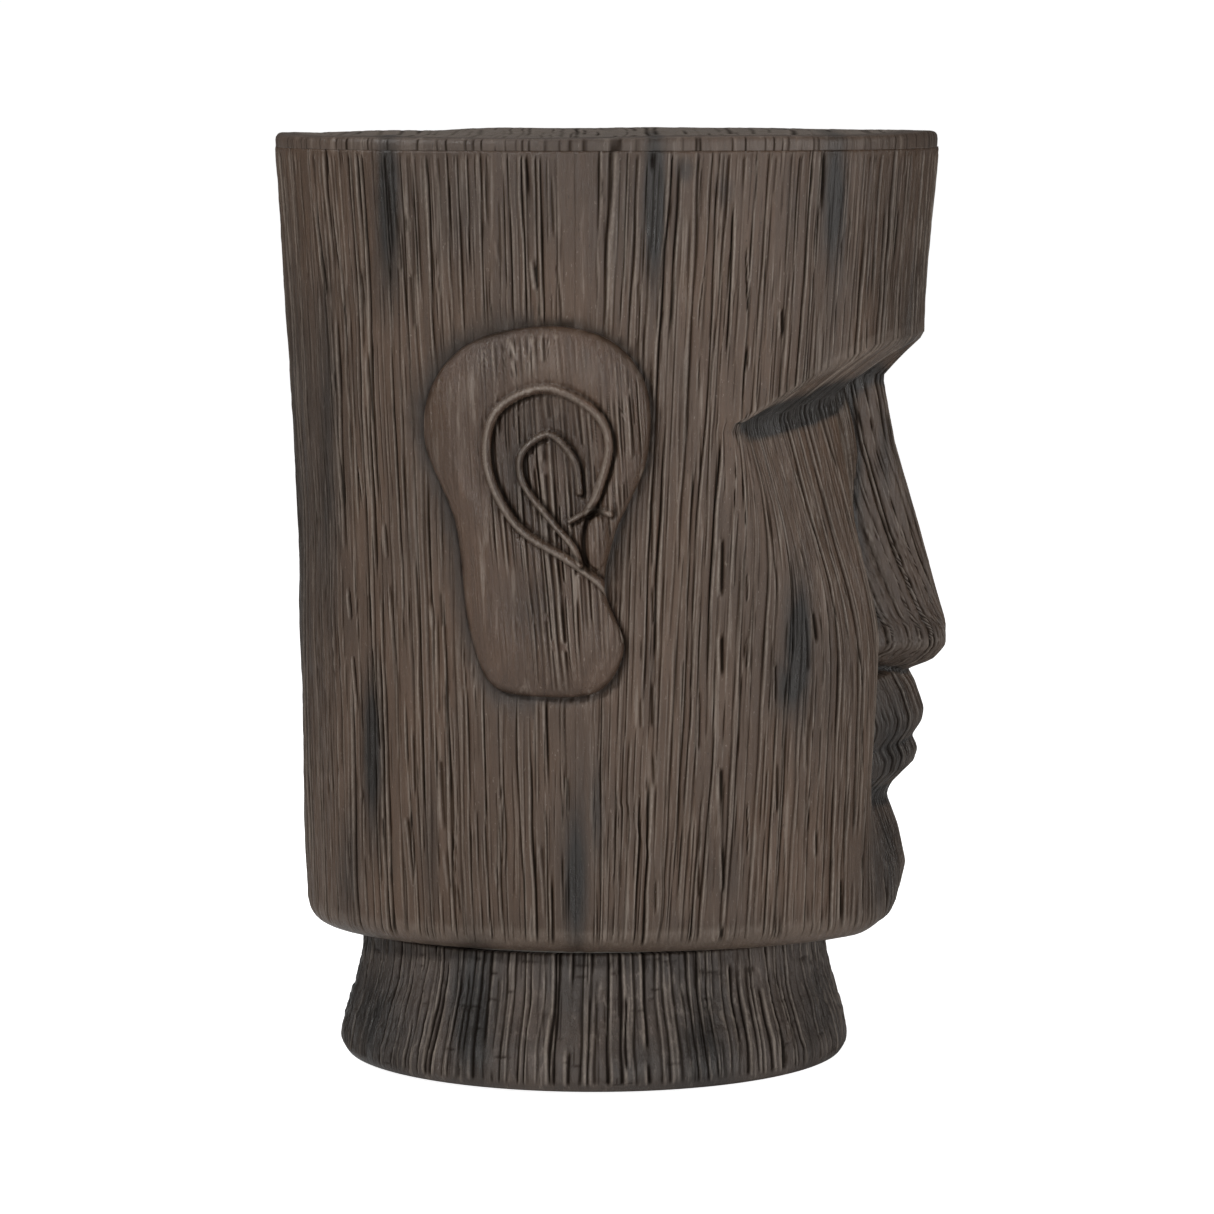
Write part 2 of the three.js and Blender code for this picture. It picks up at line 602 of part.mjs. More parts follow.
function neckPlinth() {
  const outside = loft(NECK_ROWS.map((share) => neckRing(mix(FOOT_LIFT, neckTop, share), 0)));
  const hollow = loft([FOOT_LIFT - THROUGH, neckTop - NECK_FLANGE].map((z) => ellipseRing(
    NECK_HALF_WIDTH - NECK_WALL, NECK_HALF_LENGTH - NECK_WALL, z, NECK_SETBACK)));
  const spigot = openingBar(SPIGOT_CLEARANCE, neckTop - OVERLAP, NECK_HEIGHT + WALL);
  const boreInset = SPIGOT_CLEARANCE + SPIGOT_WALL;
  const bore = openingBar(boreInset, neckTop - NECK_FLANGE - OVERLAP, NECK_HEIGHT + WALL + THROUGH);
  const padSeat = roundBar(PAD_RADIUS + PAD_SIDE_CLEARANCE, -THROUGH, FOOT_LIFT + PAD_SINK, PAD_STEPS);
  const screwHole = roundBar(SCREW_RADIUS + GAP, -THROUGH, SCREW_HEAD_SINK + SCREW_LENGTH + SCREW_HOLE_SPARE);
  let plinth = outside.subtract(hollow).add(spigot).subtract(bore);
  for (const place of footPlaces) plinth = plinth.subtract(at(padSeat, place)).subtract(at(screwHole, place));
  return plinth;
}

function mortarBed() {
  const z0 = neckTop + GAP;
  const outside = loft([z0, z0 + BED].map((z) => neckRing(z, BED_SETBACK)));
  return outside.subtract(openingBar(-GAP, z0 - THROUGH, z0 + BED + THROUGH));
}

function footPad() {
  const boltSeat = SCREW_HEAD_SINK + SCREW_HEAD_HEIGHT + GAP;
  const seatRadius = SCREW_HEAD_RADIUS + PAD_SIDE_CLEARANCE;
  const holeRadius = SCREW_RADIUS + GAP;
  const top = FOOT_LIFT + PAD_SINK - GAP;
  const section = [
    [seatRadius, 0], [PAD_RADIUS - PAD_BEVEL, 0], [PAD_RADIUS, PAD_BEVEL], [PAD_RADIUS, top], [holeRadius, top],
    [holeRadius, boltSeat], [seatRadius, boltSeat], [seatRadius, 0],
  ].map(([r, z]) => new THREE.Vector2(r, z));
  const geometry = new THREE.LatheGeometry(section, PAD_STEPS);
  geometry.rotateX(Math.PI / 2);
  return solidFromGeometry(geometry);
}

function footScrew() {
  const z0 = SCREW_HEAD_SINK;
  const neck = z0 + SCREW_HEAD_HEIGHT;
  const end = z0 + SCREW_LENGTH;
  const section = [
    [0, z0 + DRIVE_DEPTH], [DRIVE_RADIUS, z0 + DRIVE_DEPTH], [DRIVE_RADIUS, z0],
    [SCREW_HEAD_RADIUS - SCREW_HEAD_BEVEL, z0], [SCREW_HEAD_RADIUS, z0 + SCREW_HEAD_BEVEL],
    [SCREW_HEAD_RADIUS, neck], [SCREW_RADIUS, neck], [SCREW_RADIUS, end - SCREW_POINT], [0, end],
  ].map(([r, z]) => new THREE.Vector2(r, z));
  const geometry = new THREE.LatheGeometry(section, SMALL_STEPS);
  geometry.rotateX(Math.PI / 2);
  return solidFromGeometry(geometry);
}

// ---- materials ------------------------------------------------------------------------------
const stained = new THREE.MeshStandardMaterial({ color: 0x58483f, roughness: 0.62, metalness: 0 });
const stainedEar = new THREE.MeshStandardMaterial({ color: 0x5a4a40, roughness: 0.55, metalness: 0 });
const stainedTop = new THREE.MeshStandardMaterial({ color: 0x5b5650, roughness: 0.65, metalness: 0 });
const mortar = new THREE.MeshStandardMaterial({ color: 0x8d8981, roughness: 0.9, metalness: 0 });
const strapping = new THREE.MeshStandardMaterial({ color: 0xa8a294, roughness: 0.85, metalness: 0 });
const pinRod = new THREE.MeshStandardMaterial({ color: 0xc2b48a, roughness: 0.5, metalness: 0 });
const rubber = new THREE.MeshStandardMaterial({ color: 0x1d1d1d, roughness: 0.8, metalness: 0 });
const zinc = new THREE.MeshStandardMaterial({ color: 0xb4b8bd, roughness: 0.35, metalness: 1 });

// ---- assembly -------------------------------------------------------------------------------
const tikiTable = new THREE.Group();

function place(name, solid, material) {
  const geometry = solid instanceof wasm.Manifold ? geometryOf(solid) : solid;
  const mesh = new THREE.Mesh(geometry, material);
  mesh.name = name;
  tikiTable.add(mesh);
  return mesh;
}

place('top_slab', topSlab(), stainedTop);
place('head_front_shell', frontShell(), stained);
place('head_rear_shell', rearShell(), stained);
place('neck_plinth', neckPlinth(), stained);
place('neck_mortar_bed', mortarBed(), mortar);

// The figure's left side is +X.
for (const [name, side] of [['left', 1], ['right', -1]]) {
  place(`${name}_ear`, ear(side), stainedEar);
  place(`${name}_seam_strap`, seamStrap(side), strapping);
  for (const [where, spot] of Object.entries(PIN_PLACES)) {
    place(`${name}_ear_${where}_pin`, pinBar(spot, side, PIN_RADIUS, PIN_IN_HEAD, PIN_IN_EAR), pinRod);
  }
}

footPlaces.forEach((spot, index) => {
  place(`foot_pad_${index + 1}`, footPad(), rubber).position.copy(spot);
  place(`foot_screw_${index + 1}`, footScrew(), zinc).position.copy(spot);
});

export default tikiTable;
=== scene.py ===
"""Looks for the tiki head side table: the carved shells, ears, neck and top, and their stained finish.

Sizes here are in millimetres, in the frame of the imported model: +Z up, the face looks along -Y, and
"forward" means -Y. Meshes are turned into metres when they are made.
"""

import json
import math

import bpy
import numpy as np
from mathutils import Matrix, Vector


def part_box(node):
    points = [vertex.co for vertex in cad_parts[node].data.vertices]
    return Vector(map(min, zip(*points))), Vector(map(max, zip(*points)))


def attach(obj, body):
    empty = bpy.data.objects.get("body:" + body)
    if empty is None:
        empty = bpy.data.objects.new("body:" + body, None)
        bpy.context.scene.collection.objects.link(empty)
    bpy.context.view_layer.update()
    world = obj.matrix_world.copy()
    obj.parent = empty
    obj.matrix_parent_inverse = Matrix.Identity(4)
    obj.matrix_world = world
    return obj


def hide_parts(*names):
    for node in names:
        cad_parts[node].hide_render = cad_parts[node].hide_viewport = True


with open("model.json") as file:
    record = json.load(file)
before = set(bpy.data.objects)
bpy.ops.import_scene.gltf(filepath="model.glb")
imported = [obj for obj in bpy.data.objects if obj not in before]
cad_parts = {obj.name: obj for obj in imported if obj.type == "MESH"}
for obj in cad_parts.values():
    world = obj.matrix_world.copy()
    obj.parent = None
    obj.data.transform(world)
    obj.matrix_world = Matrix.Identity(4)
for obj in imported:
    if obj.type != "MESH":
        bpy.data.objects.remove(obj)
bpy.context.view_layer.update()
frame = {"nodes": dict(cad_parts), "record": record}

METRE = 1000.0


def box_mm(node):
    """Lowest and highest corner of a CAD node in millimetres."""
    low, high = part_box(node)
    return np.array(low) * METRE, np.array(high) * METRE


SLAB_LOW, SLAB_HIGH = box_mm("top_slab")
SHELL_LOW, SHELL_HIGH = box_mm("head_front_shell")
NECK_LOW, NECK_HIGH = box_mm("neck_plinth")
BED_LOW, _ = box_mm("neck_mortar_bed")

# ---- sizes of the head, read from the frame where the frame has them ------------------------
HEIGHT = SLAB_HIGH[2]
NECK_HEIGHT = SHELL_LOW[2]
TOP_HALF_WIDTH = SLAB_HIGH[0]
TOP_FORWARD = -SLAB_LOW[1]
TOP_REARWARD = SLAB_HIGH[1]
JAW_HALF_WIDTH = 110.0
JAW_FORWARD = 162.0
JAW_REARWARD = 165.6
WAIST_REARWARD = 168.6
WAIST_HEIGHT = 250.0
TOP_SQUARENESS = 2.45
JAW_SQUARENESS = 2.0
WALL = 12.0
SPIGOT_CLEARANCE = 0.5
SEAM_SETBACK = 19.0
JAW_ROUNDING = 12.0

# ---- face -----------------------------------------------------------------------------------
BROW_HEIGHT = 393.0
BROW_DROP = 41.0
BROW_REACH = 114.0
SOCKET_TOP = 370.0
SOCKET_DROP = 19.0
SOCKET_START = 20.0
JAW_BLEND_LOW = 84.0
JAW_BLEND_HIGH = 185.0
CHEEK_RIDGE = 62.0
CHEEK_RIDGE_FORWARD = 117.7
CHEEK_RIDGE_HEIGHT = 346.5
CHEEK_LEAN = 0.24
CHEEK_SWEEP = 1.02
INNER_SWEEP_TOP = 0.28
INNER_SWEEP_LOW = -0.25
INNER_SWEEP_DEPTH = 95.0
CHEEK_SOFTNESS = 12.0
SOCKET_SOFTNESS = 5.0
FEATURE_SOFTNESS = 3.0
EDGE_EASE = 1.3
# Middle profiles as (height, forward).
CHIN_LINE = [(71.5, 138), (81.5, 152), (90, 157.5), (104, 160.5), (122, 156.5), (141.5, 149.7),
             (152, 148)]
LIP_LINE = [(141.5, 149), (149.5, 153.7), (160.5, 165), (167.5, 167), (174.5, 163.8), (182.5, 169.2),
            (189, 170.3), (203, 165.7), (214, 159.2)]
NOSE_LINE = [(211, 159.2), (217, 175), (225, 181), (236, 181.8), (247, 178.4), (334.5, 152.4),
             (356.5, 148.3), (370, 145.7)]
NOSE_REACH = 44.0           # lines follow the nose and mouth this far from the middle
CREASE_DEPTH = 1.1          # a hollow this deep gets the full painted shade
NOSE_FLANK = 2.35
NOSE_HALF_WIDTH = 5.5       # of the flat at the bridge; it grows by as much again at the tip
NOSE_WIDENS = (290.0, 232.0)
NOSE_WING = 5.0
WING_HEIGHT = 226.0
WING_REACH = 11.0
NOSE_ROUNDING = 5.0
LIP_HALF_WIDTH = 45.0
LIP_BOW = 31.0
MOUTH_DROOP = 7.0
CHIN_BOW = 0.011

# ---- ears, as [forward, up] from the ear's centre -------------------------------------------
EAR_FORWARD = -39.5
EAR_HEIGHT = 307.7
EAR_RELIEF = 7.0
EAR_EDGE = 1.5
EAR_OUTLINE = [(8, 96), (-35, 86), (-54, 64), (-58, 36), (-42, -7), (-34, -66), (-22, -93), (2, -98),
               (34, -94), (46, -72), (36, -41), (41, -13), (58, 28), (57, 66), (40, 88)]
OUTER_COIL = [(27, 0), (32, 10), (38, 37), (31, 52), (5, 64), (-20, 52), (-25, 25), (-10, -7),
              (17, -25), (26, -31), (36, -40), (43, -54), (46, -68)]
INNER_COIL = [(23, 10), (20, 27), (7, 40), (-7, 30), (-7, 16), (9, -6), (20, -19), (23, -27)]
COIL_BRANCH = [(18, -5), (30, 1), (39, -1)]
TRAGUS = (32, -16)
SCOOP_DEPTH = 3.5
SCOOP_FORWARD = -112.0
SCOOP_HALF_WIDTH = 26.0
SCOOP_HALF_HEIGHT = 95.0

# ---- neck -----------------------------------------------------------------------------------
NECK_SETBACK = 9.4
NECK_HALF_LENGTH = 125.5
NECK_HALF_WIDTH = 92.0
FLARE_LENGTH = 13.0
FLARE_WIDTH = 36.0
FLARE_HEIGHT = 8.0
FLARE_FADE = 34.0
FOOT_TUCK = 2.5
FOOT_LIFT = NECK_LOW[2]
GAP = 0.3
NECK_TOP = BED_LOW[2] - GAP
NECK_WALL = 16.0
NECK_FLANGE = 12.0
OPENING_HALF_LENGTH = 92.0
OPENING_HALF_WIDTH = 66.0
SPIGOT_WALL = 8.0

# ---- fineness of the carved meshes, in millimetres or as counts -----------------------------
GRAIN_STEP = 0.72
ROW_STEP = 2.9
FINE_ROW_STEP = 1.5         # between these heights, over the mouth and the tip of the nose
FINE_ROWS = (150, 232)
EAR_POINTS_PER_SPAN = 46
NECK_COLUMNS = 1000
TOP_COLUMNS = 1100
TOP_RINGS = 96
CLOSED = 0.004              # share of the size at which a cap closes a disc

# ---- incised lines as (spacing, half width, reach along, share that is filled), in mm --------
COARSE_LINES = (4.8, 0.46, 62, 0.74)
MEDIUM_LINES = (3.1, 0.36, 36, 0.54)
FINE_LINES = (2.1, 0.30, 22, 0.40)
GASHES = (15.0, 0.75, 17, 0.36)
EAR_DASHES = (2.7, 0.52, 9, 0.80)
NECK_LINES = (4.6, 0.62, 34, 0.74)
NECK_FINE_LINES = (2.9, 0.42, 24, 0.60)
NECK_CRACKS = (6.0, 0.55, 9, 0.26)
TOP_LINES = (5.2, 1.0, 70, 0.55)
RIM_LINES = (4.4, 0.55, 40, 0.62)


# ---- small helpers --------------------------------------------------------------------------
def mix(a, b, share):
    return a + (b - a) * share


def smooth_step(low, high, value):
    t = np.clip((value - low) / (high - low), 0, 1)
    return t * t * (3 - 2 * t)


def soft_min(a, b, radius):
    share = np.clip(0.5 + 0.5 * (b - a) / radius, 0, 1)
    return mix(b, a, share) - radius * share * (1 - share)


def soft_max(a, b, radius):
    return -soft_min(-a, -b, radius)


def signed_power(value, power):
    """Power of the size, with the sign kept."""
    return np.sign(value) * np.abs(value) ** power


def along(profile, z):
    """Forward place of a profile at a height; far behind the face outside its ends."""
    heights, places = zip(*profile)
    return np.interp(z, heights, places, left=-TOP_FORWARD, right=-TOP_FORWARD)


def noise(u, v, seed):
    """Smooth value noise from 0 to 1 on a repeating lattice."""
    size = 256
    lattice = np.random.default_rng(seed).random((size, size))
    u, v = np.broadcast_arrays(np.asarray(u, float), np.asarray(v, float))
    iu, iv = np.floor(u).astype(int), np.floor(v).astype(int)
    fu, fv = u - iu, v - iv
    fu, fv = fu * fu * (3 - 2 * fu), fv * fv * (3 - 2 * fv)
    a = mix(lattice[iu % size, iv % size], lattice[(iu + 1) % size, iv % size], fu)
    b = mix(lattice[iu % size, (iv + 1) % size], lattice[(iu + 1) % size, (iv + 1) % size], fu)
    return mix(a, b, fv)


def chance(cell, seed):
    """A steady random value from 0 to 1 for each whole number."""
    table = np.random.default_rng(seed).random(4096)
    return table[np.asarray(cell).astype(int) % 4096]


# ---- plan outline of the head ---------------------------------------------------------------
def share_up(z):
    return np.clip((z - NECK_HEIGHT) / (HEIGHT - NECK_HEIGHT), 0, 1)


def rearward(z):
    below = np.clip((WAIST_HEIGHT - z) / (WAIST_HEIGHT - NECK_HEIGHT), 0, None)
    above = np.clip((z - WAIST_HEIGHT) / (HEIGHT - WAIST_HEIGHT), 0, None)
    low = mix(WAIST_REARWARD, JAW_REARWARD, below ** 2)
    return np.where(z < WAIST_HEIGHT, low, mix(WAIST_REARWARD, TOP_REARWARD, above ** 1.5))


def outline_sizes(z, inset=0.0):
    low = np.clip(JAW_ROUNDING - (z - NECK_HEIGHT - inset), 0, JAW_ROUNDING)
    tuck = JAW_ROUNDING - np.sqrt(JAW_ROUNDING ** 2 - low ** 2) + inset
    width = mix(JAW_HALF_WIDTH, TOP_HALF_WIDTH, share_up(z)) - tuck
    forward = mix(JAW_FORWARD, TOP_FORWARD, share_up(z) ** 2.5) - tuck
    power = mix(JAW_SQUARENESS, TOP_SQUARENESS, share_up(z) ** 0.75)
    return width, forward, rearward(z) - tuck, power


def outline_point(turn, z, inset=0.0):
    width, front, rear, power = outline_sizes(z, inset)
    x = width * signed_power(np.sin(turn), 2 / power)
    length = np.where(np.cos(turn) > 0, front, rear)
    return x, length * signed_power(np.cos(turn), 2 / power)


def scoop(forward, z):
    across = (forward - SCOOP_FORWARD) / SCOOP_HALF_WIDTH
    up = (z - EAR_HEIGHT) / SCOOP_HALF_HEIGHT
    return SCOOP_DEPTH * np.exp(-(across ** 2) - up ** 4)


def side_width(forward, z):
    width, front, rear, power = outline_sizes(z)
    share = np.clip(np.abs(forward) / np.where(forward > 0, front, rear), 0, 1)
    return width * (1 - share ** power) ** (1 / power) - scoop(forward, z)


# ---- face -----------------------------------------------------------------------------------
def brow_edge(x):
    return BROW_HEIGHT - BROW_DROP * np.clip(np.abs(x) / BROW_REACH, 0, 1) ** 7


def socket_line(x):
    share = np.clip((np.abs(x) - SOCKET_START) / (BROW_REACH - SOCKET_START), 0, 1)
    return SOCKET_TOP - SOCKET_DROP * share


def mouth_droop(x):
    return MOUTH_DROOP * np.clip(np.abs(x) / LIP_HALF_WIDTH, 0, 1) ** 2


def cheek(x, z, outline, inset=0.0):
    """Cheek plane and inner socket, cut out of the plain outline."""
    out = np.abs(x) - CHEEK_RIDGE
    ridge = CHEEK_RIDGE_FORWARD + CHEEK_LEAN * (CHEEK_RIDGE_HEIGHT - z)
    plane = ridge - CHEEK_SWEEP * out - inset * math.hypot(1, CHEEK_SWEEP, CHEEK_LEAN)
    width, front, _, power = outline_sizes(z, inset)
    share = CHEEK_RIDGE / np.maximum(width, CHEEK_RIDGE + 1)
    shoulder = front * (1 - share ** power) ** (1 / power)
    rise = smooth_step(CHEEK_RIDGE_HEIGHT - INNER_SWEEP_DEPTH, CHEEK_RIDGE_HEIGHT, z)
    sweep = mix(INNER_SWEEP_LOW, INNER_SWEEP_TOP, rise)
    inner = np.minimum(ridge - inset, shoulder) - sweep * out
    cut = soft_min(soft_min(outline, plane, CHEEK_SOFTNESS), inner, SOCKET_SOFTNESS)
    chin_height = np.clip(z, CHIN_LINE[0][0], CHIN_LINE[-1][0])
    jaw = soft_min(outline, along(CHIN_LINE, chin_height) - inset, CHEEK_SOFTNESS)
    return mix(jaw, cut, smooth_step(JAW_BLEND_LOW, JAW_BLEND_HIGH, z))


def nose(x, z):
    half = NOSE_HALF_WIDTH * (1 + smooth_step(*NOSE_WIDENS, z))
    wing = NOSE_WING * np.exp(-((z - WING_HEIGHT) / WING_REACH) ** 2)
    out = np.maximum(0, np.abs(x) - half - wing)
    rounded = np.where(out < NOSE_ROUNDING, out ** 2 / (2 * NOSE_ROUNDING), out - NOSE_ROUNDING / 2)
    return along(NOSE_LINE, z) - NOSE_FLANK * rounded


def lips(x, z):
    return along(LIP_LINE, z + mouth_droop(x)) - LIP_BOW * (x / LIP_HALF_WIDTH) ** 2


def chin(x, z):
    return along(CHIN_LINE, z) - CHIN_BOW * x ** 2


def face_at(x, z, outline):
    brow = brow_edge(x)
    socket = np.minimum(socket_line(x), brow - 0.5)
    below = np.minimum(z, socket)
    deep = np.minimum(cheek(x, below, outline), outline)
    deep = soft_max(deep, np.minimum(chin(x, below), outline), FEATURE_SOFTNESS)
    for feature in (nose, lips):
        deep = soft_max(deep, feature(x, below), FEATURE_SOFTNESS)
    share = np.clip((brow - z) / (brow - socket), 0, 1)
    return np.where(z >= brow, outline, mix(outline, deep, share))


def face_forward(x, z, outline):
    """Forward place of the face, with its edges eased over a few millimetres up and down."""
    steps = np.linspace(-EDGE_EASE, EDGE_EASE, 5)
    return sum(face_at(x, z + step, outline) for step in steps) / len(steps)


def head_point(turn, z):
    x, forward = outline_point(turn, z)
    facing = np.cos(turn) > 0
    carved = np.where(facing & (z < BROW_HEIGHT + 6), face_forward(x, z, forward), forward)
    hollow = np.where(facing, 0.0, np.abs(np.sin(turn)) * scoop(forward, z))
    return np.stack([x - np.sign(x) * hollow, -carved, z], axis=-1)


# ---- grain ----------------------------------------------------------------------------------
def groove_layer(across, z, seed, spacing, half_width, reach, fill):
    """Incised lines that run up the surface, and the burr thrown up beside each, greyed as wear and as
    painted highlight; both 0 to 1.
    """
    wander = 3.0 * (noise(across / 30, z / 95, seed) - 0.5)
    wander = wander + 1.3 * (noise(across / 9, z / 34, seed + 1) - 0.5)
    bunch = 2.4 * (noise(across / 13, z / 300, seed + 2) - 0.5)
    u = (across + wander + bunch) / spacing
    groove = np.zeros_like(u)
    burr_and_highlight = np.zeros_like(u)
    for shift in (-1, 0, 1):
        cell = np.floor(u) + shift
        centre = cell + 0.5 + 0.8 * (chance(cell, seed + 3) - 0.5)
        centre = centre + 0.5 / spacing * (noise(cell * 5.3, z / 22, seed + 8) - 0.5)
        away = (u - centre) * spacing
        width = half_width * (0.55 + 0.9 * chance(cell, seed + 4))
        width = width * (0.7 + 0.6 * noise(cell * 2.9, z / 18, seed + 9))
        present = noise(cell * 3.7, z / reach + chance(cell, seed + 5) * 40, seed + 6)
        strength = smooth_step(1 - fill - 0.1, 1 - fill + 0.1, present)
        strength = strength * (0.5 + 0.5 * chance(cell, seed + 7))
        side = np.where(chance(cell, seed + 10) > 0.45, 1.0, -1.0)
        groove = np.maximum(groove, strength * np.exp(-(away / width) ** 2))
        from_burr = (away * side - 1.9 * width) / (0.8 * width + 0.15)
        burr_and_highlight = np.maximum(burr_and_highlight, strength * np.exp(-from_burr ** 2))
    return groove, burr_and_highlight * (1 - groove)


def bark(across, z, seed):
    """Small rough lumps and chips between the lines."""
    fine = noise(across / 1.3, z / 5, seed) * noise(across / 4, z / 14, seed + 1)
    return fine - 0.25


def seam_smear(y, z, seed):
    """1 where filler has smoothed the grain over the joint between the shells."""
    edge = 5 + 8 * noise(z / 26, 0.5, seed)
    return smooth_step(edge, edge - 5, np.abs(y - SEAM_SETBACK + 3))


def beside_ear(forward, z):
    """How far outside the ear's outline a place lies, in mm; less than nothing inside it."""
    spokes = smooth_curve(EAR_OUTLINE, True, 12)
    angle = np.arctan2(spokes[:, 1], spokes[:, 0])
    order = np.argsort(angle)
    radius = np.hypot(spokes[:, 0], spokes[:, 1])[order]
    there = np.arctan2(z - EAR_HEIGHT, forward - EAR_FORWARD)
    edge = np.interp(there, angle[order], radius, period=2 * np.pi)
    return np.hypot(forward - EAR_FORWARD, z - EAR_HEIGHT) - edge


def grain(across, points, seed, low, high):
    """Groove, burr with its grey wear and painted highlight, and height change in mm on a surface that is
    carved from low to high.
    """
    z = points[..., 2]
    coarse, coarse_burr = groove_layer(across, z, seed, *COARSE_LINES)
    medium, medium_burr = groove_layer(across, z, seed + 20, *MEDIUM_LINES)
    fine, _ = groove_layer(across, z, seed + 60, *FINE_LINES)
    gash, gash_burr = groove_layer(across + 0.05 * z, z, seed + 80, *GASHES)
    coarse, coarse_burr = np.maximum(coarse, gash), np.maximum(coarse_burr, gash_burr)
    fade = smooth_step(low, low + 5 + 6 * noise(across / 5, 0.3, seed + 40), z)
    top_edge = high + 2.5 - 6 * noise(across / 3.2, 0.7, seed + 41)
    fade = fade * smooth_step(top_edge + 1.0, top_edge - 3.0, z)
    smear = seam_smear(points[..., 1], z, seed + 42)
    outside = beside_ear(-points[..., 1], z)
    reach = np.where(-points[..., 1] < EAR_FORWARD, 10.0, 4.0)
    ragged = 2.5 * (noise(points[..., 1] / 4, z / 4, seed + 50) - 0.5)
    valley = np.exp(-(np.maximum(outside + ragged, 0) / reach) ** 2) * (np.abs(points[..., 0]) > 60)
    fade = fade * (1 - 0.7 * smear) * (1 - 0.65 * valley)
    groove = np.maximum(np.maximum(coarse, 0.75 * medium), 0.4 * fine) * fade
    burr_and_highlight = np.maximum(coarse_burr, 0.75 * medium_burr) * fade
    lump = 2.2 * (noise(across / 17, z / 60, seed + 43) - 0.5) * fade
    rough = 0.45 * bark(across, z, seed + 44) * (0.4 + 0.6 * fade)
    rough = rough + (0.8 * smear + 1.0 * valley) * bark(across / 2, z / 2.5, seed + 46)
    cut = (1.5 * coarse + 0.75 * medium + 0.3 * fine) * fade - 0.75 * burr_and_highlight
    pits = np.exp(-((outside - 1.2) / 1.4) ** 2) * (np.abs(points[..., 0]) > 60)
    groove = np.maximum(groove, 0.42 * pits * (0.5 + 0.7 * noise(points[..., 1] / 5, z / 5, seed + 52)))
    return groove, burr_and_highlight, valley, lump + rough - cut - 2.0 * valley


# ---- meshes ---------------------------------------------------------------------------------
def signed_volume(points, quads):
    a, b, c, d = (points[quads[:, i]] for i in range(4))
    return np.einsum("ij,ij->", a, np.cross(b, c)) + np.einsum("ij,ij->", a, np.cross(c, d))


def make_mesh(name, points, quads, extra=(), values=None):
    """A closed mesh object from points in mm; values are named numbers, one per point."""
    if signed_volume(points, quads) < 0:
        quads = quads[:, ::-1]
        extra = [tuple(reversed(face)) for face in extra]
    mesh = bpy.data.meshes.new(name)
    mesh.from_pydata((points / METRE).tolist(), [], [tuple(q) for q in quads.tolist()] + list(extra))
    mesh.validate()
    mesh.shade_smooth()
    for key, numbers in (values or {}).items():
        attribute = mesh.attributes.new(key, "FLOAT", "POINT")
        attribute.data.foreach_set("value", np.asarray(numbers, np.float32))
    piece = bpy.data.objects.new(name, mesh)
    bpy.context.scene.collection.objects.link(piece)
    return piece


def grid_quads(rows, columns, close_rows=False, close_columns=False, start=0):
    row_count = rows if close_rows else rows - 1
    column_count = columns if close_columns else columns - 1
    r, c = np.meshgrid(np.arange(row_count), np.arange(column_count), indexing="ij")
    r2, c2 = (r + 1) % rows, (c + 1) % columns
    quads = np.stack([r * columns + c, r * columns + c2, r2 * columns + c2, r2 * columns + c], axis=-1)
    return quads.reshape(-1, 4) + start


def grid_normals(points):
    down = np.gradient(points, axis=0)
    across = np.gradient(points, axis=1)
    normal = np.cross(across, down)
    return normal / np.maximum(np.linalg.norm(normal, axis=-1, keepdims=True), 1e-9)


def outward(points, normal, centre):
    """The same normals, all pointing away from the centre line."""
    flip = np.sign(np.sum((points - centre) * normal, axis=-1, keepdims=True) + 1e-12)
    return normal * np.where(np.mean(flip) < 0, -1.0, 1.0)


# ---- head shells ----------------------------------------------------------------------------
SHELL_TOP = SHELL_HIGH[2]
HEAD_GUIDES = [
    *[lambda x, up=up: NECK_HEIGHT + up + 0 * x for up in (0, 0.4, 1.2, 2.6, 4.6, 7.2, JAW_ROUNDING)],
    *[lambda x, z=z: z + 0 * x for z in (90, 104, 122, 141.5)],
    *[lambda x, z=z: z - mouth_droop(x) for z in (149.5, 160.5, 167.5, 174.5, 182.5, 189, 203)],
    *[lambda x, z=z: z + 0 * x for z in (211, 217, 225, 236, 247, 275, 305, 334)],
    lambda x: socket_line(x) - 9,
    lambda x: socket_line(x) - 3,
    lambda x: socket_line(x) + 1,
    lambda x: np.maximum(brow_edge(x), socket_line(x) + 6) - 2,
    lambda x: np.maximum(brow_edge(x), socket_line(x) + 6) + 1.5,
    lambda x: np.maximum(brow_edge(x), socket_line(x) + 6) + 6,
    lambda x: 410 + 0 * x,
    lambda x: SHELL_TOP - 8 + 0 * x,
    lambda x: SHELL_TOP - 1.5 + 0 * x,
    lambda x: SHELL_TOP + 0 * x,
]


def row_places():
    """Fractional guide numbers, close enough together everywhere to carry the carving."""
    middle = np.array([float(guide(np.array(0.0))) for guide in HEAD_GUIDES])
    side = np.array([float(guide(np.array(100.0))) for guide in HEAD_GUIDES])
    places = []
    for i in range(len(HEAD_GUIDES) - 1):
        gap = max(middle[i + 1] - middle[i], side[i + 1] - side[i])
        step = FINE_ROW_STEP if FINE_ROWS[0] < middle[i] < FINE_ROWS[1] else ROW_STEP
        count = max(1, round(gap / step))
        places += [i + k / count for k in range(count)]
    return np.array(places + [len(HEAD_GUIDES) - 1.0])


def guide_heights(x, places):
    """Height of each row at each column, for the x that the column has there."""
    heights = np.stack([guide(x) for guide in HEAD_GUIDES])
    low = np.minimum(np.floor(places).astype(int), len(HEAD_GUIDES) - 2)
    share = (places - low)[:, None]
    columns = np.arange(heights.shape[-1])
    if heights.ndim == 2:
        return mix(heights[low], heights[low + 1], share)
    rows = np.arange(len(places))[:, None]
    return mix(heights[low[:, None], rows, columns], heights[low[:, None] + 1, rows, columns], share)


def seam_turn(z, inset=0.0):
    """How far round from the front the shells' joint lies."""
    _, _, rear, power = outline_sizes(z, inset)
    return np.pi - np.arccos((SEAM_SETBACK / rear) ** (power / 2))


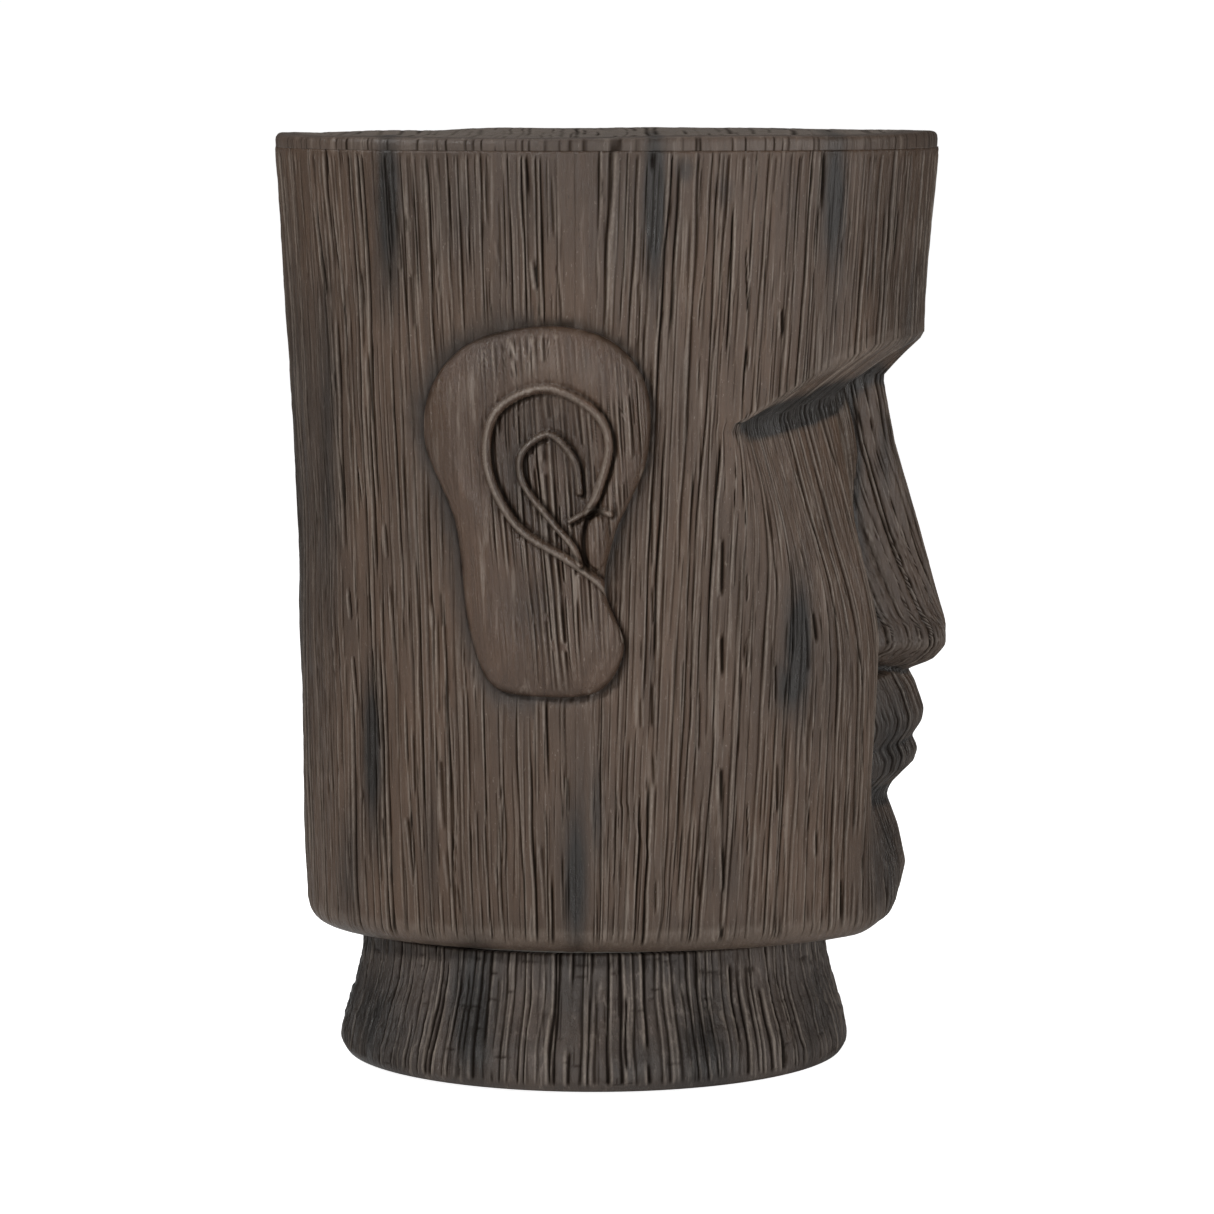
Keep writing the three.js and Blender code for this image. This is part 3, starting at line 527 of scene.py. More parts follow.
def box_blur(values, half, axis):
    """Mean over the neighbours up to half a step count away along one axis."""
    pad = [(0, 0)] * values.ndim
    pad[axis] = (half + 1, half)
    total = np.cumsum(np.pad(values, pad, mode="edge"), axis=axis)
    count = values.shape[axis]
    last = np.take(total, range(2 * half + 1, 2 * half + 1 + count), axis=axis)
    return (last - np.take(total, range(count), axis=axis)) / (2 * half + 1)


def hollowness(points, normal):
    """1 where the surface is hollow and -1 where it is proud, over about a centimetre."""
    soft = points
    for axis, half in ((1, 9), (0, 3), (1, 9), (0, 3)):
        soft = box_blur(soft, half, axis)
    return np.clip(((soft - points) * normal).sum(-1) / CREASE_DEPTH, -1, 1)


def shell_turn(place, z, front, inset=0.0):
    """Turn of a column: place runs from -1 to 1 across the front or the rear shell."""
    limit = seam_turn(z, inset)
    return place * limit if front else np.pi + place * (np.pi - limit)


def spread_columns(front):
    """Column places spaced evenly round the shell, closer together over the nose and mouth."""
    place = np.linspace(-1, 1, 4001)
    middle_height = 300.0
    x, forward = outline_point(shell_turn(place, middle_height, front), middle_height)
    step = np.hypot(np.diff(x), np.diff(forward))
    length = np.concatenate([[0], np.cumsum(step)])
    crowding = 1 + (1.1 * np.exp(-(x / 34) ** 2) if front else 0 * x)
    weight = np.concatenate([[0], np.cumsum(step * (crowding[1:] + crowding[:-1]) / 2)])
    count = int(weight[-1] / GRAIN_STEP)
    wanted = np.linspace(0, weight[-1], count)
    return np.interp(wanted, weight, place), np.interp(wanted, weight, length - length[-1] / 2)


def head_shell(name, front, seed):
    """One half of the head as a closed wall: carved outside, plain inside, floor and opening."""
    places = row_places()
    column, across = spread_columns(front)
    z = guide_heights(100 * np.abs(np.sin(0.5 * np.pi * column)) if front else 0 * column + 114.0, places)
    for _ in range(3):
        x, _ = outline_point(shell_turn(column[None, :], z, front), z)
        z = guide_heights(x if front else 0 * x + 114.0, places)
    turn = shell_turn(column[None, :], z, front)
    outside = head_point(turn, z)
    normal = outward(outside, grid_normals(outside), np.array([0, 0, 0]) + outside * [0, 0, 1])
    # crease is 1 in hollows and -1 on proud places; it paints shade into the hollows and a highlight onto the
    # proud edges.
    crease = hollowness(outside, normal)
    # Painted shade over the recessed middle of the face below the brow, strongest at the height of the mouth.
    mask = smooth_step(62, 44, np.abs(outside[..., 0])) * smooth_step(BROW_HEIGHT, BROW_HEIGHT - 25, z)
    face_shade = (0.30 + 0.30 * np.exp(-((z - NECK_HEIGHT - 100) / 34) ** 2)) * mask * (1 if front else 0)
    lines_across = across[None, :] + 0 * z
    if front:
        step = np.linalg.norm(np.diff(outside, axis=1)[..., :2], axis=-1)
        length = np.concatenate([np.zeros((len(z), 1)), np.cumsum(step, axis=1)], axis=1)
        length = length - length[:, [len(column) // 2]]
        inner = (np.abs(outside[..., 0]) < NOSE_REACH) & (z < BROW_HEIGHT)
        lines_across = np.where(inner, length + 300, lines_across)
    grooves, burrs_and_highlight, valley, height = grain(lines_across, outside, seed, NECK_HEIGHT + 3, SHELL_TOP - 0.5)
    at_seam = smooth_step(1.0, 0.993, np.abs(column))[None, :]
    outside = outside + normal * (height * at_seam)[..., None]

    inner_heights = np.linspace(SHELL_TOP, NECK_HEIGHT + WALL, 14)[:, None]
    inner_turn = shell_turn(column[None, :], inner_heights, front, WALL)
    inner_x, inner_forward = outline_point(inner_turn, inner_heights, WALL)
    if front:
        lifted = np.minimum(inner_heights, socket_line(inner_x) + WALL)
        carved = np.minimum(cheek(inner_x, lifted, inner_forward, WALL), inner_forward)
        share = np.clip((brow_edge(inner_x) + WALL - inner_heights) / 14, 0, 1)
        inner_forward = mix(inner_forward, carved, share)
    inside = np.stack([inner_x, -inner_forward, inner_heights + 0 * inner_x], axis=-1)

    around = np.arctan2(outside[0, :, 1] - NECK_SETBACK, outside[0, :, 0])
    radius = 1 / np.hypot(np.cos(around) / OPENING_HALF_WIDTH, np.sin(around) / OPENING_HALF_LENGTH)
    edge = np.stack([radius * np.cos(around), NECK_SETBACK + radius * np.sin(around), 0 * around], axis=-1)
    edge[:, 1] = np.maximum(edge[:, 1], SEAM_SETBACK) if not front else np.minimum(edge[:, 1], SEAM_SETBACK)
    floor_rows = np.stack([edge + [0, 0, NECK_HEIGHT + WALL], edge + [0, 0, NECK_HEIGHT]])
    underside = mix(floor_rows[1], outside[0], 0.5)[None]

    loop = np.concatenate([outside, inside, floor_rows, underside])
    rows, columns = loop.shape[:2]
    quads = grid_quads(rows, columns, close_rows=True)
    first_column = np.arange(rows) * columns
    ends = [tuple(first_column.tolist()), tuple((first_column[::-1] + columns - 1).tolist())]
    groove_values = np.zeros((rows, columns))
    groove_values[: len(outside)] = grooves
    burr_and_highlight_values = np.zeros((rows, columns))
    # Proud edges, such as the cheek ridge, get a painted highlight in the burr channel.
    burr_and_highlight_values[: len(outside)] = np.maximum(burrs_and_highlight, 0.55 * np.clip(-crease - 0.35, 0, 1))
    stains = stain_at(loop)
    # Painted shade joins the stains here: in the valley round the ear, in the hollows, and over the middle of
    # the face.
    for share in (0.52 * valley, 0.85 * np.clip(crease, 0, 1), face_shade):
        stains[: len(outside)] = np.maximum(stains[: len(outside)], share)
    return make_mesh(name, loop.reshape(-1, 3), quads, ends, {
        "groove": groove_values.ravel(), "burr_and_highlight": burr_and_highlight_values.ravel(), "stain": stains.ravel()})


# ---- stains and broad painted shade ---------------------------------------------------------
# Soft blackish runs in the finish: (forward, height, half width, half height, strength) on the
# figure's right side, mirrored with a shift on its left so that the two sides differ. Two broad entries
# are painted shade, the band across the top of the head and the tall patch down the rear of the side;
# the broad patch high on the forehead darkens it.
STAINS_AND_SHADE = [
    (-116, 466, 7, 50, 1.0), (-77, 468, 14, 30, 0.35), (22, 470, 6, 44, 1.0), (38, 484, 7, 9, 0.6),
    (58, 474, 9, 12, 0.45), (115, 470, 7.5, 46, 1.0), (98, 234, 7.5, 34, 1.0), (94, 214, 9, 16, 0.8),
    (-127, 176, 5.5, 48, 1.0), (-19, 112, 7, 46, 0.75), (-8, 150, 4, 30, 0.5), (-74, 38, 12, 40, 1.0),
    (49, 28, 13, 28, 0.7), (-134, 30, 24, 44, 0.75), (-20, 50, 12, 26, 0.4), (10, 18, 20, 14, 0.4),
    (110, 30, 10, 30, 0.4), (-150, 330, 9, 130, 0.55), (148, 330, 7, 40, 0.55), (60, 120, 10, 26, 0.3),
    (-172, 250, 14, 220, 0.6), (158, 410, 8, 60, 0.5), (152, 440, 30, 75, 0.30), (-160, 300, 30, 210, 0.34),
    (0, 480, 200, 44, 0.26), (122, 215, 30, 60, 0.18), (150, 110, 16, 50, 0.6), (-110, 300, 16, 90, 0.2),
    (0, 88, 150, 9, 0.16), (-96, 120, 5, 46, 0.4), (-140, 110, 8, 40, 0.5), (20, 225, 5, 30, 0.3),
]


def stain_at(points):
    forward, z = -points[..., 1], points[..., 2]
    shift = np.where(points[..., 0] > 0, 23.0, 0.0)
    total = np.zeros(forward.shape)
    for place, height, half_width, half_height, strength in STAINS_AND_SHADE:
        across = (forward - place + shift) / half_width
        up = (z - height + 0.6 * shift) / half_height
        total = np.maximum(total, strength * np.exp(-(across ** 2) - up ** 2))
    return total


# ---- ears -----------------------------------------------------------------------------------
def smooth_curve(points, closed, count):
    """Points on a centripetal Catmull-Rom curve through the given ones."""
    p = np.array(points, float)
    ring = np.vstack([p[-1], p, p[0], p[1]]) if closed else np.vstack([2 * p[0] - p[1], p, 2 * p[-1] - p[-2]])
    spans = len(ring) - 3
    result = []
    for i in range(spans):
        a, b, c, d = ring[i:i + 4]
        ta = 0.0
        tb = ta + math.sqrt(np.linalg.norm(b - a))
        tc = tb + math.sqrt(np.linalg.norm(c - b))
        td = tc + math.sqrt(np.linalg.norm(d - c))
        t = np.linspace(tb, tc, count, endpoint=False)[:, None]
        ab = (tb - t) / (tb - ta) * a + (t - ta) / (tb - ta) * b
        bc = (tc - t) / (tc - tb) * b + (t - tb) / (tc - tb) * c
        cd = (td - t) / (td - tc) * c + (t - tc) / (td - tc) * d
        abc = (tc - t) / (tc - ta) * ab + (t - ta) / (tc - ta) * bc
        bcd = (td - t) / (td - tb) * bc + (t - tb) / (td - tb) * cd
        result.append((tc - t) / (tc - tb) * abc + (t - tb) / (tc - tb) * bcd)
    return np.vstack(result + ([] if closed else [p[-1][None]]))


def distance_to(route, forward, up):
    """Distance from each point to a drawn line, how far along it is, and 1 to its front, -1 behind."""
    line = smooth_curve(route, False, 8)
    best = np.full(forward.shape, 1e9)
    place = np.zeros(forward.shape)
    front = np.zeros(forward.shape)
    for i in range(len(line) - 1):
        a, b = line[i], line[i + 1]
        span = b - a
        t = np.clip(((forward - a[0]) * span[0] + (up - a[1]) * span[1]) / (span @ span), 0, 1)
        far = np.hypot(forward - a[0] - t * span[0], up - a[1] - t * span[1])
        closer = far < best
        place = np.where(closer, (i + t) / (len(line) - 1), place)
        ahead = forward - a[0] - t * span[0] + 0.3 * (a[1] + t * span[1] - up)
        front = np.where(closer, ahead / (far + 0.1), front)
        best = np.minimum(best, far)
    return best, place, front


def ear_height(forward, up, share):
    """How far the ear stands out from the head at a place, with painted shade in its hollows, beside its
    cords and in the pit by the bud, and painted highlights on its raised parts.
    """
    rim_start = np.where(forward < 5, 0.62, 0.80)
    edge = np.sqrt(np.maximum(0, 1 - np.clip((share - rim_start) / (1 - rim_start), 0, 1) ** 2.3))
    height = EAR_EDGE * 0.4 + (EAR_RELIEF - EAR_EDGE * 0.4) * edge
    outer, outer_place, outer_front = distance_to(OUTER_COIL, forward, up)
    inner, _, inner_front = distance_to(INNER_COIL, forward, up)
    branch, _, branch_front = distance_to(COIL_BRANCH, forward, up)
    bowl = smooth_step(46, 16, np.hypot((forward - 5) * 1.2, (up - 22) * 0.82))
    height = height - 4.4 * bowl
    inner_bowl = smooth_step(24, 6, np.hypot((forward - 8) * 1.3, (up - 14) * 0.8))
    height = height - 1.2 * inner_bowl
    lobe_dip = np.exp(-((forward + 2) / 17) ** 2 - ((up + 50) / 20) ** 2)
    helix = np.exp(-((share - 0.78) / 0.16) ** 2) * smooth_step(-26, 6, up)
    lobe = np.exp(-((forward - 22) / 16) ** 2 - ((up + 66) / 20) ** 2)
    height = height - 2.4 * lobe_dip + 3.0 * helix + 2.6 * lobe
    # Painted highlight on the raised helix and lobe.
    raised_highlight = 0.30 * helix + 0.30 * lobe
    # dark is painted shade on the shaded side of each cord and in the pit behind the bud.
    dark = np.zeros(forward.shape)
    lit = raised_highlight * noise(forward / 9, up / 22, 977)
    cord = np.zeros(forward.shape)
    thin = 1 - 0.45 * smooth_step(0.80, 1.0, outer_place)
    cords = (
        (outer, outer_front, 2.5 * thin, 3.6 * thin, 0.85),
        (inner, inner_front, 2.0, 2.8, 0.75),
        (branch, branch_front, 1.7, 2.2, 0.65),
    )
    for far, ahead, rib, lift, cord_shade in cords:
        bead = np.sqrt(np.maximum(0, 1 - (far / rib) ** 2))
        shaded = 0.25 + 0.75 * smooth_step(-0.2, 0.8, ahead)
        cord = np.maximum(cord, bead)
        ditch = np.exp(-((far - rib - 0.7) / 1.2) ** 2)
        height = height + lift * bead - 1.3 * ditch * shaded
        beside = np.exp(-(np.maximum(far - rib - 0.3, 0) / 1.5) ** 2) * (far > rib - 0.3)
        dark = np.maximum(dark, cord_shade * shaded * beside)
        # Each cord's lit side gets a painted highlight.
        lit = np.maximum(lit, 0.75 * bead * smooth_step(0.5, -0.3, ahead))
    bud = ((forward - TRAGUS[0]) / 5.8) ** 2 + ((up - TRAGUS[1]) / 14.0) ** 2
    behind = 0.25 + 0.75 * smooth_step(3.0, -5.0, forward - TRAGUS[0] - 0.2 * (up - TRAGUS[1]))
    pit = np.exp(-(np.maximum(bud, 1) - 1.3) ** 2 / 0.5) * (bud > 1)
    height = height + 3.0 * np.sqrt(np.maximum(0, 1 - bud)) - 2.6 * pit * behind
    dark = np.maximum(dark, 0.9 * behind * np.exp(-(bud - 1.5) ** 2 / 0.4) * (bud > 1))
    # hollow is painted shade in the bowl and in the dip above the lobe.
    hollow = 0.40 * bowl * (1 - 0.5 * inner_bowl) + 0.26 * lobe_dip
    return height, dark, lit, hollow, cord


def chisel_dashes(forward, up, seed):
    """Short incised strokes, nearly upright, with plain skin between them."""
    dashes, burr_and_highlight = groove_layer(forward + 0.06 * up, up, seed, *EAR_DASHES)
    coil = smooth_step(48, 30, np.hypot(forward - 8, (up - 16) * 0.8))
    lobe = np.exp(-((forward - 16) / 18) ** 2 - ((up + 50) / 34) ** 2)
    helix = np.exp(-((forward - 42) / 14) ** 2 - ((up - 55) / 30) ** 2)
    top = np.exp(-((forward - 5) / 34) ** 2 - ((up - 80) / 12) ** 2)
    patch = np.clip(np.maximum(np.maximum(coil, lobe), np.maximum(helix, top)) + 0.34, 0, 1)
    patch = patch * (0.55 + 0.45 * smooth_step(0.25, 0.6, noise(forward / 14, up / 22, seed + 30)))
    return dashes * patch, burr_and_highlight * patch


def ear(name, side, seed):
    spokes = smooth_curve(EAR_OUTLINE, True, EAR_POINTS_PER_SPAN)
    near_edge = 0.78 + 0.22 * np.linspace(0.03, 1, 40) ** 0.8
    share = np.concatenate([np.linspace(CLOSED, 0.78, 92), near_edge])
    forward = spokes[None, :, 0] * share[:, None]
    up = spokes[None, :, 1] * share[:, None]
    height, dark, lit, hollow, cord = ear_height(forward, up, share[:, None] + 0 * forward)
    inside = smooth_step(1.0, 0.93, share)[:, None]
    dashes, burr_and_highlight = chisel_dashes(forward, up, seed)
    dashes, burr_and_highlight = dashes * inside * (1 - 0.85 * cord), burr_and_highlight * inside * (1 - 0.85 * cord)
    rough = 0.45 * bark(forward * 1.1, up, seed + 3) + 0.8 * (noise(forward / 13, up / 20, seed + 5) - 0.5)
    chipped = 0.7 * np.exp(-((share[:, None] - 0.96) / 0.03) ** 2)
    rough = rough + chipped * (noise(forward / 2.5, up / 2.5, seed + 6) - 0.5)
    height = height + inside * rough - 1.3 * dashes + 0.8 * burr_and_highlight
    at = side_width(EAR_FORWARD + forward, EAR_HEIGHT + up)
    front = np.stack([side * (at + height), -(EAR_FORWARD + forward), EAR_HEIGHT + up], axis=-1)
    back_share = np.array([1.0, 0.7, 0.35, CLOSED])[:, None]
    back_forward, back_up = spokes[None, :, 0] * back_share, spokes[None, :, 1] * back_share
    back_at = side_width(EAR_FORWARD + back_forward, EAR_HEIGHT + back_up) - 1.5
    back = np.stack([side * back_at, -(EAR_FORWARD + back_forward), EAR_HEIGHT + back_up], axis=-1)
    loop = np.concatenate([front, back])
    rows, columns = loop.shape[:2]
    quads = grid_quads(rows, columns, close_columns=True)
    caps = [tuple(range(columns))[::-1], tuple(range((rows - 1) * columns, rows * columns))]
    pad = np.zeros((len(back), columns))
    rim = 0.45 * np.exp(-((share[:, None] - 1.0) / 0.03) ** 2)
    rim = rim * (0.2 + 1.1 * noise(forward / 5, up / 5, seed + 8))
    # On the ear the groove channel carries painted shade, the burr channel painted highlights, and the stain
    # channel painted shade in the hollows.
    return make_mesh(name, loop.reshape(-1, 3), quads, caps, {
        "groove": np.concatenate([np.maximum(np.maximum(0.8 * dashes, dark), rim), pad]).ravel(),
        "burr_and_highlight": np.concatenate([np.maximum(burr_and_highlight, lit), pad]).ravel(),
        "stain": np.maximum(0.3 * stain_at(loop), np.concatenate([hollow, pad])).ravel()})


# ---- neck -----------------------------------------------------------------------------------
def neck_sizes(z):
    flare = np.exp(-((np.maximum(z, FLARE_HEIGHT) - FLARE_HEIGHT) / FLARE_FADE) ** 2)
    tuck = FOOT_TUCK * np.clip((FLARE_HEIGHT - z) / (FLARE_HEIGHT - FOOT_LIFT), 0, 1) ** 2
    return NECK_HALF_WIDTH + FLARE_WIDTH * flare - tuck, NECK_HALF_LENGTH + FLARE_LENGTH * flare - tuck


def neck_plinth(name, seed):
    turn = np.linspace(0, 2 * np.pi, NECK_COLUMNS, endpoint=False)[None, :]
    foot = FOOT_LIFT + 6 * np.linspace(0, 1, 9) ** 1.4
    z = np.concatenate([foot, np.linspace(FOOT_LIFT + 7, NECK_TOP, 44)])[:, None]

    def ring(width, length, level):
        across, back = width * np.sin(turn), NECK_SETBACK - length * np.cos(turn)
        return np.stack([across, back, level + 0 * turn], axis=-1)

    outside = ring(*neck_sizes(z), z)
    across = 118 * turn + 0 * z
    normal = outward(outside, grid_normals(outside), outside * [0, 0, 1])
    lines, burr_and_highlight = groove_layer(across, z * 1.5, seed, *NECK_LINES)
    fine, _ = groove_layer(across, z * 1.5, seed + 20, *NECK_FINE_LINES)
    level = z + 3 * noise(across / 9, z / 9, seed + 31)
    cracks, _ = groove_layer(level, across, seed + 32, *NECK_CRACKS)
    fade = smooth_step(FOOT_LIFT + 1.5, FOOT_LIFT + 6, z)
    rough = 1.1 * bark(across, z * 2, seed + 33) + 1.4 * (noise(across / 14, z / 12, seed + 34) - 0.5)
    height = fade * (rough - 1.5 * lines - 0.6 * fine - 0.8 * cracks + 0.5 * burr_and_highlight)
    grooves = fade * np.maximum(np.maximum(lines, 0.6 * fine), 0.7 * cracks)
    outside = outside + normal * height[..., None]

    spigot = (OPENING_HALF_WIDTH - SPIGOT_CLEARANCE, OPENING_HALF_LENGTH - SPIGOT_CLEARANCE)
    bore = (spigot[0] - SPIGOT_WALL, spigot[1] - SPIGOT_WALL)
    hollow = (NECK_HALF_WIDTH - NECK_WALL, NECK_HALF_LENGTH - NECK_WALL)
    inner = [
        ring(*spigot, NECK_TOP), ring(*spigot, NECK_HIGH[2]), ring(*bore, NECK_HIGH[2]),
        ring(*bore, NECK_TOP - NECK_FLANGE), ring(*hollow, NECK_TOP - NECK_FLANGE), ring(*hollow, FOOT_LIFT),
    ]
    loop = np.concatenate([outside, *inner])
    rows, columns = loop.shape[:2]
    quads = grid_quads(rows, columns, close_rows=True, close_columns=True)
    pad = np.zeros((len(inner), columns))
    return make_mesh(name, loop.reshape(-1, 3), quads, (), {
        "groove": np.concatenate([grooves, pad]).ravel(),
        "burr_and_highlight": np.concatenate([fade * burr_and_highlight, pad]).ravel(),
        "stain": (0.12 + 0.8 * stain_at(loop)).ravel()})


# ---- top ------------------------------------------------------------------------------------
TOP_EDGE = [(0.0, 0.0), (0.5, 0.0), (1.6, 0.0), (3.2, 0.0), (4.4, 0.35), (5.2, 1.0), (5.75, 1.9), (6.0, 3.2)]


def top_slab(name, seed):
    """The slab: rounded, slightly uneven rim, gently wavy top, and the spigot under it."""
    turn = np.linspace(0, 2 * np.pi, TOP_COLUMNS, endpoint=False)[None, :]
    lowest = SHELL_TOP + 0.04
    rings = []
    for up, inset in TOP_EDGE:
        x, forward = outline_point(turn, np.full_like(turn, lowest + up))
        length = np.hypot(x, forward)
        rings.append(np.stack([x * (1 - inset / length), -forward * (1 - inset / length),
                               lowest + up + 0 * turn], axis=-1)[0])
    x, y, _ = rings[-1].T
    for share in (*np.linspace(0.965, 0.05, TOP_RINGS), CLOSED):
        rings.append(np.stack([x * share, y * share, 0 * x + HEIGHT], axis=-1))
    top = np.stack(rings)
    wave = 2.6 * (noise(top[..., 0] / 48 + 9, top[..., 1] / 60 + 9, seed) - 0.25)
    wave = wave + 1.8 * smooth_step(40, -60, top[..., 1])
    chips = 0.9 * (noise(turn[0] * 30, 0.2, seed + 1) - 0.5)[None, :] * np.ones((len(top), 1))
    at_rim = np.exp(-((np.arange(len(top)) - 5) / 3.0) ** 2)[:, None]
    rise = smooth_step(lowest + 1.5, HEIGHT - 1, top[..., 2])
    lines, burr_and_highlight = groove_layer(top[..., 1], top[..., 0], seed + 4, *TOP_LINES)
    flat = smooth_step(7.4, 14, np.arange(len(top)))[:, None] * np.ones_like(lines)
    middle = 1 - smooth_step(16, 6, np.hypot(top[..., 0], top[..., 1]))
    lines, burr_and_highlight = lines * middle, burr_and_highlight * middle
    round_rim = turn * 150 + 0 * lines
    side_lines, _ = groove_layer(round_rim, top[..., 2], seed + 6, *RIM_LINES)
    side = smooth_step(6.5, 4.0, np.arange(len(top)))[:, None] * side_lines
    fine = 0.25 * (noise(top[..., 0] / 3, top[..., 1] / 3, seed + 3) - 0.5)
    top[..., 2] += rise * (wave + fine - 0.55 - 0.35 * lines * flat)
    scale = 1 + (chips * at_rim) / np.hypot(top[..., 0], top[..., 1])
    top[..., :2] *= np.where(np.arange(len(top)) < 9, 1, 0)[:, None, None] * (scale[..., None] - 1) + 1

    def under(inset, level):
        x, forward = outline_point(turn, np.full_like(turn, level), inset)
        return np.stack([x, -forward, level + 0 * turn], axis=-1)

    spigot = WALL + SPIGOT_CLEARANCE
    end = SLAB_LOW[2]
    centre = under(spigot, end) * [CLOSED, CLOSED, 1]
    below = [centre, under(spigot + 2, end), under(spigot, end + 2), under(spigot, lowest)]
    loop = np.concatenate([*below, top])
    rows, width = loop.shape[:2]
    quads = grid_quads(rows, width, close_columns=True)
    caps = [tuple(range(width)), tuple(range((rows - 1) * width, rows * width))[::-1]]
    pad = np.zeros((len(below), width))
    # The flat of the top is greyed through the burr channel as a painted sheen.
    return make_mesh(name, loop.reshape(-1, 3), quads, caps, {
        "groove": np.concatenate([pad, np.maximum(0.8 * lines * flat, 0.85 * side)]).ravel(),
        "burr_and_highlight": np.concatenate([pad, np.maximum(burr_and_highlight, 0.6) * flat]).ravel(),
        "stain": (0.85 * stain_at(loop)).ravel()})


# ---- materials ------------------------------------------------------------------------------
class Nodes:
    """Short names for building one material's node tree."""

    def __init__(self, name):
        self.material = bpy.data.materials.new(name)
        self.material.use_nodes = True
        self.tree = self.material.node_tree
        self.shader = self.tree.nodes["Principled BSDF"]

    def add(self, kind, **settings):
        node = self.tree.nodes.new(kind)
        for key, value in settings.items():
            if key.startswith("in_"):
                node.inputs[key[3:].replace("_", " ")].default_value = value
            else:
                setattr(node, key, value)
        return node

    def link(self, source, target):
        self.tree.links.new(source, target)

    def attribute(self, name):
        return self.add("ShaderNodeAttribute", attribute_name=name).outputs["Fac"]

    def noise(self, scale, detail=4.0, stretch=(1, 1, 1), roughness=0.6):
        place = self.add("ShaderNodeTexCoord").outputs["Object"]
        mapping = self.add("ShaderNodeMapping")
        mapping.inputs["Scale"].default_value = stretch
        self.link(place, mapping.inputs["Vector"])
        texture = self.add("ShaderNodeTexNoise")
        texture.inputs["Scale"].default_value = scale
        texture.inputs["Detail"].default_value = detail
        texture.inputs["Roughness"].default_value = roughness
        self.link(mapping.outputs["Vector"], texture.inputs["Vector"])
        return texture.outputs["Fac"]

    def ramp(self, value, *stops):
        node = self.add("ShaderNodeValToRGB")
        while len(node.color_ramp.elements) < len(stops):
            node.color_ramp.elements.new(0.5)
        for element, (position, colour) in zip(node.color_ramp.elements, stops):
            element.position = position
            element.color = (*colour, 1) if len(colour) == 3 else colour
        self.link(value, node.inputs["Fac"])
        return node.outputs["Color"]

    def grey_ramp(self, value, *stops):
        return self.ramp(value, *[(place, (level, level, level)) for place, level in stops])

    def mix(self, factor, a, b, blend="MIX"):
        node = self.add("ShaderNodeMix", data_type="RGBA", blend_type=blend)
        for socket, value in ((node.inputs["Factor"], factor), (node.inputs["A"], a), (node.inputs["B"], b)):
            self.put(socket, value)
        return node.outputs["Result"]

    def maths(self, operation, a, b=0.0, clamp=False):
        node = self.add("ShaderNodeMath", operation=operation, use_clamp=clamp)
        self.put(node.inputs[0], a)
        self.put(node.inputs[1], b)
        return node.outputs[0]

    def put(self, socket, value):
        if isinstance(value, bpy.types.NodeSocket):
            self.link(value, socket)
        elif isinstance(value, tuple):
            socket.default_value = (*value, 1)
        else:
            socket.default_value = value

    def bump(self, height, strength, distance):
        node = self.add("ShaderNodeBump")
        node.inputs["Strength"].default_value = strength
        node.inputs["Distance"].default_value = distance
        self.link(height, node.inputs["Height"])
        self.link(node.outputs["Normal"], self.shader.inputs["Normal"])


# Near black for the stains and for the painted shade carried in the same channel.
BLACK_STAIN_AND_SHADE = (0.0088, 0.0076, 0.0064)
# Near black for the dark wash in the lines; on the ear it also paints shade beside the cords and the bud.
GROOVE_DIRT_AND_SHADE = (0.0045, 0.0030, 0.0020)


def scaled(colour, share):
    return tuple(share * part for part in colour)


